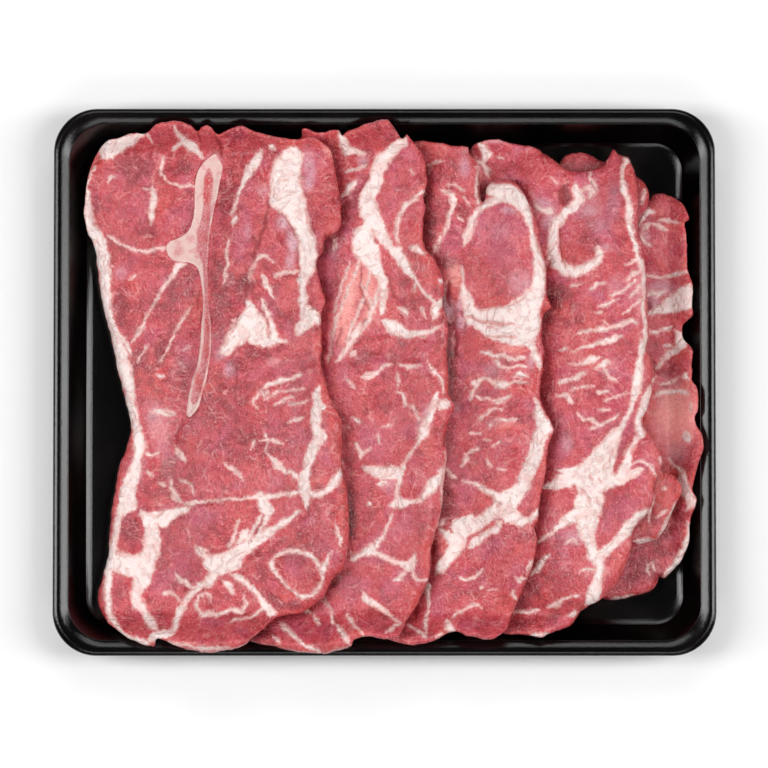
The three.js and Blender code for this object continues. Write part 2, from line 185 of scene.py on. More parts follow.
# The seams of fat in each slice, as chains of points with the seam's width there: (x, y, width) in pixels.
seams = {
    "slice_1": [
        [(300, 292, 3), (303, 305, 5), (302, 320, 6), (297, 332, 5)],
        [(261, 299, 3), (267, 311, 3.5), (272, 324, 4), (276, 336, 5)],
        [(236, 318, 2), (231, 330, 4), (225, 342, 5)],
        [(143, 514, 8), (152, 519, 13), (164, 515, 10), (176, 509, 6)],
        [(110, 563, 14), (124, 563, 20), (140, 565, 24)],
        [(238, 543, 5), (244, 537, 8), (248, 529, 4)],
        [(197, 546, 2), (206, 553, 5), (213, 561, 8)],
        [(226, 356, 4), (234, 343, 9), (243, 326, 14), (250, 308, 9), (247, 300, 4)],
        [(258, 338, 8), (273, 340, 7), (288, 343, 3)],
        [(150, 412, 2), (160, 410, 3), (172, 411, 2)],
        [(100, 155, 8), (108, 147, 20), (118, 143, 15), (128, 139, 11), (136, 136, 6), (147, 132, 3)],
        [(93, 163, 3), (88, 175, 3), (86, 187, 4), (86, 200, 6), (87, 215, 10), (91, 228, 12),
         (97, 240, 14), (101, 255, 14), (103, 270, 12), (104, 285, 11), (105, 303, 10), (109, 320, 9),
         (115, 338, 10), (120, 355, 13), (125, 372, 14), (128, 390, 10), (130, 405, 9), (134, 420, 9),
         (137, 434, 10), (139, 447, 13)],
        [(139, 447, 11), (136, 460, 9), (133, 475, 12), (127, 490, 15), (127, 503, 18), (119, 513, 8),
         (116, 530, 6), (113, 546, 7), (112, 562, 12)],
        [(140, 508, 4), (144, 518, 6), (151, 527, 12), (152, 540, 16), (150, 553, 16), (140, 566, 18),
         (125, 566, 16), (112, 563, 12)],
        [(198, 503, 3), (190, 507, 4), (180, 511, 8), (169, 517, 11), (158, 526, 16)],
        [(184, 504, 4), (192, 504, 5), (200, 503, 4)],
        [(146, 566, 16), (141, 580, 17), (136, 593, 11), (138, 604, 9), (145, 613, 8), (152, 622, 7),
         (158, 631, 9)],
        [(108, 566, 8), (107, 580, 8), (108, 595, 6), (108, 608, 6), (113, 621, 5), (122, 632, 5),
         (135, 640, 5), (148, 643, 6)],
        [(150, 640, 10), (157, 637, 10), (166, 634, 8), (173, 632, 6), (176, 622, 7), (180, 610, 7),
         (186, 600, 6), (192, 594, 7), (200, 588, 6), (208, 583, 8), (215, 573, 12)],
        [(211, 563, 16), (222, 566, 20), (234, 563, 14)],
        [(210, 560, 8), (203, 555, 4), (196, 548, 3)],
        [(207, 584, 5), (198, 585, 5), (189, 587, 4), (181, 580, 5), (175, 571, 3)],
        [(163, 594, 4), (170, 592, 4), (178, 596, 3), (180, 602, 2)],
        [(225, 562, 16), (234, 556, 14), (244, 549, 13), (256, 541, 12), (268, 534, 9), (281, 525, 7),
         (293, 517, 5), (301, 511, 3)],
        [(246, 547, 8), (250, 537, 4), (256, 526, 4), (262, 515, 5)],
        [(254, 543, 8), (260, 534, 5), (265, 522, 5), (269, 513, 7)],
        [(262, 497, 8), (264, 505, 9), (268, 511, 12), (272, 512, 5)],
        [(229, 548, 3), (234, 540, 4), (236, 530, 3), (240, 521, 2.5)],
        [(232, 574, 6), (243, 580, 6), (252, 588, 5), (260, 598, 6), (266, 607, 8), (272, 612, 9),
         (276, 616, 5)],
        [(224, 582, 5), (229, 586, 7), (233, 593, 4)],
        [(200, 502, 2.5), (215, 501, 2), (235, 499, 3), (248, 498, 3), (262, 497, 6), (275, 496, 5),
         (290, 494, 4), (302, 490, 4)],
        [(320, 387, 4), (317, 396, 6), (318, 405, 9), (316, 416, 8), (317, 428, 9), (320, 438, 13),
         (315, 446, 10), (311, 456, 8), (308, 466, 7), (305, 476, 9), (305, 487, 12), (307, 499, 8),
         (308, 509, 4)],
        [(324, 405, 6), (322, 412, 8)],
        [(301, 482, 5), (292, 474, 4), (284, 473, 4), (279, 466, 6), (275, 461, 5), (270, 456, 2),
         (266, 450, 2)],
        [(308, 494, 6), (319, 496, 6), (328, 490, 6), (335, 484, 9), (340, 476, 7), (341, 471, 4)],
        [(259, 440, 2), (266, 441, 4), (273, 440, 2.5), (282, 444, 2)],
        [(265, 433, 2), (267, 440, 3), (266, 448, 2)],
        [(254, 440, 2), (251, 450, 2)],
        [(225, 462, 2), (231, 469, 3), (240, 475, 3), (244, 481, 2)],
        [(169, 476, 2), (171, 487, 3), (175, 495, 5), (181, 502, 4)],
        [(181, 479, 2.5), (187, 484, 2.5), (192, 486, 2.5), (194, 496, 2.5)],
        [(176, 449, 3), (181, 456, 5), (186, 461, 4)],
        [(147, 470, 2), (152, 476, 3)],
        [(158, 483, 3), (165, 484, 3)],
        [(275, 405, 2), (285, 401, 2.5), (293, 398, 2)],
        [(290, 405, 3), (298, 406, 2.5), (308, 402, 2)],
        [(264, 399, 1.5), (280, 393, 2), (295, 391, 2), (306, 390, 1.5)],
        [(288, 423, 2), (296, 420, 3.5), (303, 418, 3)],
        [(263, 389, 5), (272, 384, 5), (280, 381, 6), (292, 379, 4), (302, 374, 4)],
        [(260, 391, 2.5), (264, 395, 3), (268, 392, 2.5)],
        [(258, 394, 2), (253, 403, 2.5), (258, 408, 2)],
        [(107, 233, 4), (115, 240, 3), (125, 245, 3), (135, 249, 3), (145, 250, 4), (155, 248, 3),
         (166, 246, 4)],
        [(150, 183, 5), (153, 195, 6), (152, 206, 7), (150, 215, 6), (150, 222, 3)],
        [(142, 186, 2), (150, 187, 3)],
        [(107, 182, 3), (110, 176, 2.5), (113, 174, 2)],
        [(174, 126, 3), (178, 133, 4), (184, 139, 8), (191, 144, 10), (197, 150, 6), (203, 156, 6)],
        [(184, 141, 4), (176, 145, 3), (171, 149, 3)],
        [(147, 135, 2), (151, 142, 2)],
        [(163, 155, 2), (161, 163, 3), (160, 171, 2.5)],
        [(159, 170, 2), (164, 177, 3), (170, 181, 3), (178, 184, 3), (186, 184, 3), (193, 183, 3)],
        [(184, 262, 8), (176, 264, 6), (173, 273, 4), (167, 281, 4), (160, 290, 3), (153, 303, 2.5),
         (147, 315, 2), (140, 328, 3), (136, 332, 4), (131, 343, 2)],
        [(190, 305, 2), (183, 316, 2.5), (176, 328, 2), (170, 340, 2.5), (166, 350, 2.5), (160, 361, 2)],
        [(129, 278, 2), (135, 273, 4)],
        [(147, 345, 2), (142, 353, 2), (136, 362, 3)],
        [(157, 374, 3), (163, 377, 4)],
        [(183, 349, 3), (189, 346, 2)],
        [(112, 263, 4), (113, 265, 3)],
        [(120, 335, 4), (126, 344, 5), (130, 353, 3)],
        [(157, 411, 4), (165, 414, 4), (175, 412, 2)],
        [(145, 452, 5), (152, 455, 3), (160, 452, 2)],
        [(262, 150, 9), (255, 160, 9), (249, 170, 8), (243, 182, 5), (238, 195, 3), (234, 207, 3),
         (231, 216, 2)],
        [(236, 216, 5), (233, 225, 5)],
        [(228, 238, 2), (228, 250, 3), (227, 262, 3), (225, 275, 3), (224, 284, 2)],
        [(268, 146, 5), (275, 150, 4)],
        [(295, 147, 12), (292, 158, 24), (287, 170, 28), (286, 184, 31), (286, 196, 33), (293, 206, 25),
         (299, 217, 18), (303, 229, 16), (306, 241, 17), (308, 255, 19), (308, 267, 17), (304, 280, 10),
         (303, 291, 7), (304, 301, 8)],
        [(276, 197, 14), (274, 203, 8)],
        [(306, 308, 10), (311, 317, 16), (305, 325, 12), (299, 333, 6)],
        [(315, 318, 10), (320, 325, 5)],
        [(324, 321, 7), (325, 317, 6)],
        [(250, 305, 5), (252, 314, 12), (256, 325, 22), (258, 335, 22), (264, 342, 11), (275, 342, 6),
         (286, 342, 4)],
        [(246, 316, 10), (243, 328, 14), (242, 338, 9), (239, 346, 4)],
        [(270, 315, 3), (270, 327, 5), (274, 337, 7)],
        [(272, 262, 2), (267, 257, 3), (260, 257, 3), (254, 262, 3), (251, 270, 3), (250, 280, 2)],
        [(262, 274, 4), (265, 282, 5), (270, 290, 4), (274, 298, 3)],
        [(276, 277, 3), (283, 272, 4), (292, 272, 4), (299, 270, 4)],
        [(234, 337, 7), (228, 346, 9), (222, 355, 7)],
        [(273, 558, 4), (283, 553, 3), (297, 551, 4), (308, 555, 4), (317, 561, 4), (322, 569, 5),
         (323, 578, 4), (320, 588, 3), (312, 595, 4), (302, 596, 3), (292, 590, 3), (283, 582, 4),
         (277, 573, 4), (272, 564, 5), (273, 558, 4)],
        [(324, 570, 6), (328, 561, 3), (333, 552, 2)],
        [(336, 526, 3), (338, 537, 4), (342, 547, 4)],
        [(197, 606, 4), (199, 598, 3), (207, 594, 3), (212, 598, 3)],
        [(197, 607, 3), (203, 613, 5), (212, 615, 5), (222, 613, 4), (232, 610, 4), (242, 611, 5),
         (247, 603, 3), (243, 597, 2)],
        [(264, 608, 3), (253, 616, 2.5), (243, 619, 2), (232, 622, 2)],
        [(170, 641, 3), (185, 645, 3), (205, 648, 3), (230, 647, 3)],
    ],
    "slice_2": [
        [(373, 264, 2.5), (367, 290, 3), (357, 316, 3.5), (345, 344, 3)],
        [(381, 272, 3), (377, 297, 4), (367, 324, 5), (352, 344, 4), (341, 356, 2)],
        [(362, 256, 2), (352, 281, 2.5), (341, 308, 2.5), (334, 333, 2)],
        [(350, 262, 1.5), (341, 288, 2), (334, 312, 1.5)],
        [(445, 453, 2), (447, 462, 2), (445, 470, 3), (443, 480, 3), (442, 500, 3), (440, 520, 2),
         (437, 535, 2)],
        [(407, 139, 7), (400, 145, 10), (391, 152, 11), (382, 160, 12), (378, 170, 13), (376, 181, 14),
         (371, 190, 14), (368, 199, 16), (369, 209, 19), (372, 219, 17), (378, 229, 13), (384, 239, 10),
         (391, 247, 7), (396, 253, 8)],
        [(367, 226, 10), (364, 235, 20), (364, 246, 24), (370, 257, 20), (377, 268, 12), (382, 280, 9),
         (384, 292, 8), (383, 304, 7), (382, 315, 6)],
        [(383, 320, 8), (393, 327, 12), (404, 333, 11), (418, 336, 6), (430, 334, 4), (441, 328, 3)],
        [(361, 324, 4), (353, 339, 5), (345, 352, 5), (337, 363, 4)],
        [(362, 283, 2), (369, 299, 3), (375, 314, 2.5)],
        [(345, 300, 2), (336, 320, 2.5), (331, 345, 2), (328, 362, 3)],
        [(356, 330, 3), (362, 336, 4)],
        [(351, 352, 6), (355, 355, 8)],
        [(424, 192, 3), (415, 199, 4), (407, 204, 6), (401, 213, 4), (398, 223, 4), (397, 233, 3),
         (398, 244, 4)],
        [(411, 170, 2), (413, 175, 2)],
        [(409, 248, 5), (417, 251, 6), (425, 254, 4)],
        [(396, 252, 9), (402, 261, 11), (408, 271, 9), (415, 282, 4), (421, 290, 3), (427, 297, 3),
         (436, 305, 4)],
        [(441, 300, 5), (437, 309, 7), (432, 320, 6)],
        [(440, 283, 7), (442, 280, 5)],
        [(415, 284, 2), (414, 292, 3)],
        [(398, 309, 3), (403, 311, 5), (408, 317, 4)],
        [(421, 309, 2.5), (424, 318, 2)],
        [(397, 366, 2.5), (408, 369, 3), (422, 367, 3)],
        [(398, 373, 2), (398, 388, 2)],
        [(429, 364, 3), (435, 374, 3), (441, 385, 3), (443, 393, 2.5)],
        [(362, 378, 6), (370, 376, 6), (377, 374, 4), (384, 367, 2.5), (392, 365, 2)],
        [(345, 380, 2), (355, 388, 3)],
        [(396, 392, 3), (402, 394, 3), (405, 403, 5), (404, 407, 3)],
        [(410, 404, 2.5), (416, 412, 2), (419, 420, 2)],
        [(353, 418, 3), (360, 423, 5)],
        [(356, 444, 3), (361, 452, 5), (362, 459, 4)],
        [(362, 451, 2), (370, 449, 2)],
        [(377, 434, 2), (380, 445, 2)],
        [(383, 428, 2), (391, 425, 2)],
        [(450, 402, 4), (445, 405, 9), (440, 411, 5)],
        [(438, 394, 7), (435, 404, 7), (431, 415, 6), (426, 425, 8), (424, 434, 9), (419, 441, 4),
         (414, 449, 3), (409, 457, 3), (404, 464, 3), (402, 472, 5)],
        [(363, 468, 4), (373, 471, 8), (384, 473, 13), (395, 474, 14), (403, 475, 8)],
        [(377, 484, 6), (388, 484, 4)],
        [(399, 479, 5), (397, 489, 4), (397, 498, 6)],
        [(390, 508, 8), (397, 504, 13), (406, 503, 9), (415, 502, 4), (421, 500, 4), (427, 493, 7),
         (433, 486, 12), (438, 480, 10), (442, 469, 3)],
        [(367, 505, 6), (370, 503, 5)],
        [(392, 515, 2), (388, 526, 2.5), (383, 536, 3), (376, 545, 5), (368, 552, 9), (359, 556, 5),
         (350, 560, 3)],
        [(372, 553, 6), (382, 556, 5), (392, 561, 4), (400, 563, 5), (408, 566, 11), (413, 560, 7),
         (416, 554, 3)],
        [(405, 572, 5), (400, 578, 4), (393, 581, 3)],
        [(412, 571, 4), (415, 579, 4), (421, 582, 3), (429, 580, 3)],
        [(361, 591, 3), (366, 599, 6), (375, 605, 6), (384, 610, 5), (392, 617, 3), (398, 621, 2)],
        [(325, 597, 3), (330, 607, 3), (334, 615, 2)],
        [(331, 612, 3), (334, 624, 4)],
        [(338, 625, 4), (345, 635, 5), (350, 643, 5)],
        [(347, 613, 2), (355, 627, 2.5), (363, 636, 2)],
        [(384, 632, 2), (392, 629, 2), (400, 622, 2)],
        [(281, 624, 5), (290, 632, 4), (300, 640, 4), (310, 647, 4), (322, 652, 4)],
        [(273, 634, 2), (281, 642, 2.5)],
        [(303, 602, 2), (306, 610, 3), (312, 613, 2)],
        [(314, 613, 2.5), (316, 619, 3), (320, 626, 2)],
        [(340, 131, 5), (342, 140, 8), (347, 149, 9), (356, 151, 6), (366, 155, 5)],
        [(345, 170, 3), (356, 169, 3), (366, 165, 3)],
        [(357, 181, 4), (349, 188, 7), (342, 198, 4)],
        [(335, 240, 2), (334, 250, 2)],
    ],
    "slice_3": [
        [(538, 290, 13), (533, 300, 20), (527, 309, 26), (520, 318, 34), (513, 327, 40)],
        [(515, 336, 16), (524, 343, 8), (530, 348, 7)],
        [(470, 309, 7), (482, 315, 9), (496, 314, 7), (510, 312, 10), (524, 307, 14)],
        [(461, 268, 2), (463, 283, 2), (467, 297, 3)],
        [(447, 470, 2), (452, 476, 4), (456, 479, 2)],
        [(451, 527, 13), (461, 526, 15), (470, 522, 12)],
        [(440, 530, 3), (446, 534, 8), (452, 540, 12)],
        [(445, 520, 3), (439, 527, 4)],
        [(487, 188, 8), (493, 190, 16), (503, 194, 17), (513, 197, 18), (521, 205, 14), (526, 215, 9),
         (529, 226, 5), (531, 237, 5), (533, 248, 7), (537, 259, 9), (539, 269, 11), (539, 281, 12),
         (537, 293, 15), (532, 304, 14)],
        [(498, 200, 8), (490, 203, 7), (483, 207, 6), (477, 212, 5), (473, 220, 5), (470, 229, 7),
         (467, 237, 8), (465, 245, 4)],
        [(463, 286, 5), (466, 298, 8), (470, 310, 10), (475, 319, 20), (486, 322, 24), (498, 326, 31),
         (510, 327, 38), (520, 327, 40)],
        [(533, 319, 5), (536, 330, 4), (534, 340, 5), (530, 349, 5)],
        [(481, 354, 3), (492, 356, 4), (503, 358, 4), (515, 361, 4), (525, 358, 4)],
        [(496, 361, 3), (499, 368, 3), (507, 370, 3), (514, 368, 3), (526, 368, 3)],
        [(532, 350, 6), (535, 361, 7), (539, 372, 5)],
        [(470, 381, 4), (477, 385, 6), (484, 380, 3), (492, 383, 4), (500, 386, 5), (508, 386, 5),
         (515, 383, 3), (528, 383, 2)],
        [(477, 387, 3), (472, 393, 4), (470, 402, 3)],
        [(473, 395, 3), (480, 400, 2.5), (490, 401, 2.5), (500, 402, 3), (512, 398, 2)],
        [(496, 404, 5), (499, 401, 4)],
        [(512, 379, 2), (520, 375, 3), (529, 379, 2)],
        [(478, 420, 4), (485, 416, 3), (490, 411, 2.5), (502, 410, 2)],
        [(497, 421, 3), (506, 423, 3), (516, 420, 2)],
        [(470, 433, 3), (480, 434, 2)],
        [(488, 427, 5), (492, 427, 4)],
        [(466, 454, 3), (467, 461, 4), (462, 465, 3)],
        [(493, 448, 2), (500, 443, 3)],
        [(486, 461, 2), (491, 468, 2)],
        [(496, 470, 2), (505, 470, 3)],
        [(484, 440, 2), (490, 442, 2)],
        [(469, 453, 3), (478, 449, 3)],
        [(533, 401, 3), (537, 407, 5), (537, 414, 8), (540, 423, 13), (546, 430, 11), (549, 435, 6)],
        [(541, 431, 13), (538, 442, 13), (535, 453, 14), (531, 464, 13), (527, 475, 14), (522, 485, 14),
         (516, 495, 15), (508, 502, 20), (499, 500, 12), (492, 495, 6), (485, 490, 4), (477, 486, 4),
         (469, 483, 3), (462, 482, 2)],
        [(503, 509, 20), (511, 517, 17), (520, 523, 8), (528, 520, 6), (535, 514, 5), (538, 507, 4)],
        [(496, 511, 13), (487, 518, 11), (478, 524, 12), (468, 528, 14), (460, 534, 14), (457, 544, 15),
         (452, 553, 12), (446, 560, 11), (441, 567, 10), (436, 573, 6)],
        [(501, 522, 4), (495, 530, 6), (487, 535, 6), (479, 540, 8), (472, 546, 6), (468, 549, 4)],
        [(443, 529, 2), (450, 540, 3)],
        [(429, 583, 6), (428, 592, 6), (428, 603, 3), (427, 614, 3), (425, 624, 4), (427, 633, 3)],
        [(409, 624, 3), (417, 630, 4), (425, 637, 3)],
        [(447, 619, 3), (449, 628, 7), (455, 633, 5)],
        [(443, 634, 3), (436, 638, 3)],
        [(460, 576, 2), (465, 579, 3), (471, 578, 3), (478, 573, 3), (483, 569, 4)],
        [(480, 587, 5), (483, 588, 4)],
        [(489, 590, 2), (497, 588, 3)],
        [(452, 618, 2), (456, 612, 2.5), (462, 611, 2.5), (468, 607, 2.5), (475, 605, 3), (481, 608, 2)],
        [(512, 591, 4), (516, 599, 3)],
        [(513, 576, 3), (517, 580, 4), (523, 577, 3)],
        [(530, 561, 3), (526, 573, 2.5)],
        [(441, 190, 2), (447, 194, 3), (453, 197, 5), (453, 207, 5), (449, 217, 4), (446, 228, 4),
         (441, 239, 4), (434, 252, 3)],
        [(478, 163, 3), (478, 175, 3), (477, 188, 4), (478, 204, 4)],
        [(425, 166, 2), (434, 162, 2.5), (445, 160, 2)],
        [(447, 185, 2), (458, 187, 3), (463, 190, 2)],
        [(463, 197, 2), (470, 206, 2)],
        [(457, 214, 2), (463, 222, 3)],
    ],
    "slice_4": [
        [(575, 184, 6), (577, 192, 8), (580, 201, 9), (573, 208, 9), (564, 214, 9), (558, 222, 10),
         (554, 232, 9), (553, 243, 10), (553, 254, 11), (557, 264, 13), (565, 270, 12), (575, 273, 9),
         (585, 271, 8), (593, 265, 8), (599, 259, 7), (604, 254, 4)],
        [(582, 190, 4), (590, 188, 4), (593, 192, 3), (588, 199, 5)],
        [(597, 248, 4), (599, 256, 6)],
        [(624, 157, 7), (626, 164, 5), (623, 172, 3), (622, 182, 4), (624, 192, 6), (627, 202, 5),
         (628, 212, 7), (628, 222, 6), (630, 230, 4), (632, 240, 4), (635, 250, 5), (637, 260, 5),
         (641, 268, 5), (643, 278, 4), (643, 290, 3.5), (643, 302, 3), (643, 315, 3.5), (644, 327, 5),
         (644, 337, 5), (642, 347, 6), (640, 355, 5), (638, 363, 6), (638, 372, 9), (636, 382, 9),
         (634, 392, 9), (631, 402, 6), (628, 412, 4), (624, 420, 4), (620, 428, 5), (614, 437, 12),
         (608, 447, 16), (602, 458, 24), (596, 470, 30), (590, 482, 34)],
        [(640, 272, 4), (632, 276, 3), (625, 283, 2)],
        [(637, 281, 3), (628, 288, 3), (620, 293, 3), (611, 298, 2)],
        [(642, 287, 3), (635, 293, 3), (628, 300, 2)],
        [(641, 300, 3), (632, 309, 2.5), (622, 316, 2)],
        [(636, 262, 4), (625, 267, 3)],
        [(602, 284, 2), (596, 286, 4), (590, 291, 2)],
        [(597, 307, 3), (608, 306, 2.5), (618, 301, 2)],
        [(594, 314, 2), (602, 312, 3)],
        [(576, 335, 4), (588, 333, 3), (600, 330, 4), (611, 329, 4), (620, 328, 5), (628, 324, 4),
         (636, 323, 3)],
        [(603, 322, 2), (606, 326, 2)],
        [(571, 354, 2), (582, 349, 3), (595, 346, 4), (607, 343, 6), (614, 340, 5), (621, 338, 2)],
        [(558, 351, 2), (567, 350, 4)],
        [(568, 366, 2), (578, 365, 3), (588, 362, 6), (600, 358, 5)],
        [(594, 369, 3), (602, 366, 6), (608, 363, 7)],
        [(603, 371, 4), (607, 379, 3), (614, 383, 4)],
        [(587, 374, 2), (575, 379, 4), (563, 383, 4), (557, 385, 3)],
        [(592, 388, 2), (580, 388, 3), (570, 391, 2)],
        [(596, 395, 3), (608, 392, 3)],
        [(556, 396, 2), (566, 396, 5), (571, 405, 3)],
        [(578, 416, 3), (583, 421, 3), (590, 421, 2), (597, 425, 3), (603, 425, 3), (610, 421, 2),
         (616, 416, 2)],
        [(603, 403, 2), (615, 399, 2), (626, 394, 2)],
        [(598, 412, 2), (608, 411, 2)],
        [(588, 430, 2), (596, 428, 2)],
        [(649, 386, 5), (646, 398, 8), (643, 408, 8), (638, 418, 6), (636, 428, 6), (639, 436, 8),
         (634, 441, 5), (630, 450, 4), (627, 459, 6), (625, 468, 7), (620, 475, 10)],
        [(541, 488, 4), (555, 485, 10), (567, 481, 14), (578, 477, 18), (590, 482, 32), (600, 483, 18),
         (612, 482, 13), (625, 478, 10), (635, 474, 7), (642, 470, 4)],
        [(556, 471, 5), (566, 473, 7), (577, 470, 6)],
        [(589, 497, 26), (586, 510, 27), (585, 522, 20), (586, 533, 14), (588, 544, 11), (592, 553, 12),
         (597, 560, 11), (598, 569, 8), (596, 578, 8), (594, 588, 10), (591, 597, 13), (585, 605, 10)],
        [(579, 513, 14), (567, 520, 9), (556, 529, 6), (546, 537, 4), (538, 543, 3)],
        [(548, 555, 5), (541, 563, 7), (535, 570, 6), (530, 576, 3)],
        [(598, 557, 8), (608, 549, 7), (617, 542, 9), (624, 533, 10), (628, 525, 9), (635, 519, 7),
         (643, 514, 6), (650, 511, 4)],
        [(548, 608, 3), (556, 605, 4), (562, 600, 3), (570, 597, 3), (578, 596, 3)],
        [(580, 573, 2), (586, 570, 3), (593, 571, 3)],
        [(565, 545, 2), (570, 540, 3), (577, 545, 2)],
        [(510, 612, 2), (520, 612, 3), (530, 612, 3), (540, 610, 3)],
        [(575, 613, 6), (567, 614, 3)],
        [(530, 634, 4), (540, 635, 5), (547, 634, 4)],
        [(630, 466, 2), (640, 462, 3), (648, 467, 3), (655, 478, 3)],
        [(660, 464, 4), (659, 458, 3)],
        [(478, 141, 6), (483, 146, 8), (488, 152, 7), (484, 160, 5), (487, 168, 6), (489, 175, 4)],
        [(476, 159, 3), (484, 159, 4)],
        [(536, 205, 3), (545, 211, 6), (553, 213, 8)],
        [(551, 178, 2), (557, 184, 3)],
        [(498, 155, 2), (505, 158, 2)],
        [(590, 171, 3), (592, 180, 2), (596, 190, 2.5)],
        [(570, 288, 2), (580, 285, 2)],
    ],
    "slice_5": [
        [(651, 494, 2), (653, 505, 3), (649, 513, 3)],
        [(676, 502, 3), (671, 512, 5), (666, 523, 5), (661, 533, 5), (656, 538, 3)],
        [(635, 541, 6), (643, 543, 7), (652, 541, 6)],
        [(666, 509, 2), (658, 517, 2.5)],
        [(662, 488, 5), (664, 490, 4)],
        [(648, 513, 2), (649, 521, 2.5)],
        [(642, 200, 3), (645, 190, 2)],
    ],
    "slice_6": [
        [(640, 224, 3), (644, 215, 4), (650, 210, 6), (656, 211, 4)],
        [(651, 220, 3), (646, 228, 4)],
        [(654, 222, 4), (662, 226, 5), (669, 227, 4)],
        [(660, 219, 2.5), (672, 219, 3.5), (681, 222, 3)],
        [(640, 232, 3), (645, 240, 5), (651, 243, 3)],
        [(644, 275, 3), (653, 274, 3), (660, 276, 3), (670, 275, 4), (680, 273, 4), (688, 272, 3)],
        [(648, 312, 3), (656, 309, 7), (667, 306, 12), (678, 301, 19), (686, 297, 24), (689, 284, 8)],
        [(648, 294, 4), (657, 292, 5), (666, 290, 5)],
        [(649, 331, 2), (658, 332, 3), (665, 328, 3), (673, 326, 3)],
        [(677, 330, 10), (681, 338, 12), (683, 345, 9), (676, 349, 7), (668, 354, 5), (663, 361, 4),
         (657, 368, 3)],
        [(666, 345, 3), (673, 344, 5)],
        [(684, 374, 6), (688, 380, 3)],
        [(656, 397, 3), (661, 393, 5), (670, 391, 6), (680, 391, 5), (688, 395, 6)],
        [(661, 386, 3), (670, 382, 3), (679, 377, 3)],
        [(655, 376, 3), (651, 381, 4)],
        [(690, 402, 3), (691, 412, 3)],
        [(686, 433, 6), (689, 442, 8)],
        [(669, 458, 2), (675, 465, 3), (682, 472, 4)],
        [(684, 473, 8), (683, 484, 9), (687, 495, 11), (692, 504, 9), (687, 509, 6)],
        [(688, 523, 4), (688, 535, 6), (685, 547, 7), (680, 558, 7), (673, 568, 6), (665, 575, 5)],
        [(651, 562, 2), (654, 571, 3)],
        [(647, 566, 2.5), (649, 574, 3)],
        [(612, 598, 2), (625, 597, 3), (633, 595, 2)],
    ],
}

# How many grid lines each slice takes: across its hidden part, across what shows, and along it.
# hiddenShare is the part of its width that its neighbour covers.
gridLines = {
    "slice_1": {"hiddenShare": 0.0, "hidden": 0, "shown": 224, "along": 408},
    "slice_2": {"hiddenShare": 0.42, "hidden": 28, "shown": 128, "along": 420},
    "slice_3": {"hiddenShare": 0.42, "hidden": 28, "shown": 128, "along": 412},
    "slice_4": {"hiddenShare": 0.36, "hidden": 28, "shown": 136, "along": 412},
    "slice_5": {"hiddenShare": 0.55, "hidden": 28, "shown": 100, "along": 360},
    "slice_6": {"hiddenShare": 0.4, "hidden": 24, "shown": 112, "along": 340},
}
undersideStep = 4  # the underside takes every fourth grid line


def toBed(points):
    # pixels of the photograph to millimetres in the tray's frame; a third column, a width, is scaled alone
    p = np.array(points, float)
    p[:, 0] = (p[:, 0] - photo["middle"][0]) * pixelSize
    p[:, 1] = (photo["middle"][1] - p[:, 1]) * pixelSize
    if p.shape[1] > 2:
        p[:, 2] *= pixelSize
    return p


def smoothStep(t):
    # 0 below 0, 1 above 1, and 3t^2 - 2t^3 between
    t = np.clip(t, 0, 1)
    return t * t * (3 - 2 * t)


lattice = {
    "points": 97,  # random heights each way, after which they repeat
    "shift": 400,
}

# Where each set of random heights starts, and the steps from slice to slice, side to side or layer to layer.
seeds = {
    "edge": 300,
    "edgeStep": 50,
    "sideStep": 10,
    "shade": 71,
    "swell": 40,
    "swellStep": 3,
    "swellLayer": 20,
    "warpAcross": 500,
    "warpAlong": 600,
    "bone": 91,
}

# How many points the curves are worked out at.
samples = {
    "side": 700,
    "ring": 90,
    "boneSide": 120,
    "boneRing": 60,
    "boneEdge": 300,
}


def ripple(x, y, size, seed):
    # value noise, -1 to 1: random heights on a square lattice of that size, eased between its corners
    points = lattice["points"]
    table = np.random.default_rng(seed).uniform(-1, 1, (points, points))
    gx, gy = x / size + lattice["shift"], y / size + lattice["shift"]
    ix, iy = np.floor(gx).astype(int), np.floor(gy).astype(int)
    fx, fy = smoothStep(gx - ix), smoothStep(gy - iy)
    left, right, near, far = ix % points, (ix + 1) % points, iy % points, (iy + 1) % points
    low = table[near, left] * (1 - fx) + table[near, right] * fx
    high = table[far, left] * (1 - fx) + table[far, right] * fx
    return low * (1 - fy) + high * fy


def curveThrough(points, count):
    # a cubic over each span, whose slope at a point is half the step between the point's neighbours
    p = np.vstack([points[:1], points, points[-1:]])
    t = np.linspace(0, len(points) - 1, count)
    i = np.minimum(t.astype(int), len(points) - 2)
    f = (t - i)[:, None]
    a, b, c, d = p[i], p[i + 1], p[i + 2], p[i + 3]
    return 0.5 * (2 * b + (c - a) * f + (2 * a - 5 * b + 4 * c - d) * f**2 + (3 * b - a - 3 * c + d) * f**3)


def atShare(curve, share):
    # the points at given shares of a curve's length
    steps = np.hypot(*np.diff(curve, axis=0).T)
    length = np.concatenate([[0], np.cumsum(steps)])
    return np.column_stack([np.interp(share * length[-1], length, curve[:, k]) for k in (0, 1)])


fraying = {
    "amount": 0.4,  # millimetres by which a slice's edge wanders
    "coarse": 4.3,
    "fine": 1.6,
    "fineShare": 0.5,
    "endEase": 0.3,
}


def frayed(curve, seed):
    # moves a curve's points sideways by noise along its length, and leaves its ends where they are
    slope = np.gradient(curve, axis=0)
    slope /= np.hypot(*slope.T)[:, None]
    x, y = curve.T
    fine = fraying["fineShare"] * ripple(x, y, fraying["fine"], seed + 1)
    push = fraying["amount"] * (ripple(x, y, fraying["coarse"], seed) + fine)
    push *= np.sin(np.pi * np.linspace(0, 1, len(curve))) ** fraying["endEase"]
    return curve + push[:, None] * np.column_stack([-slope[:, 1], slope[:, 0]])


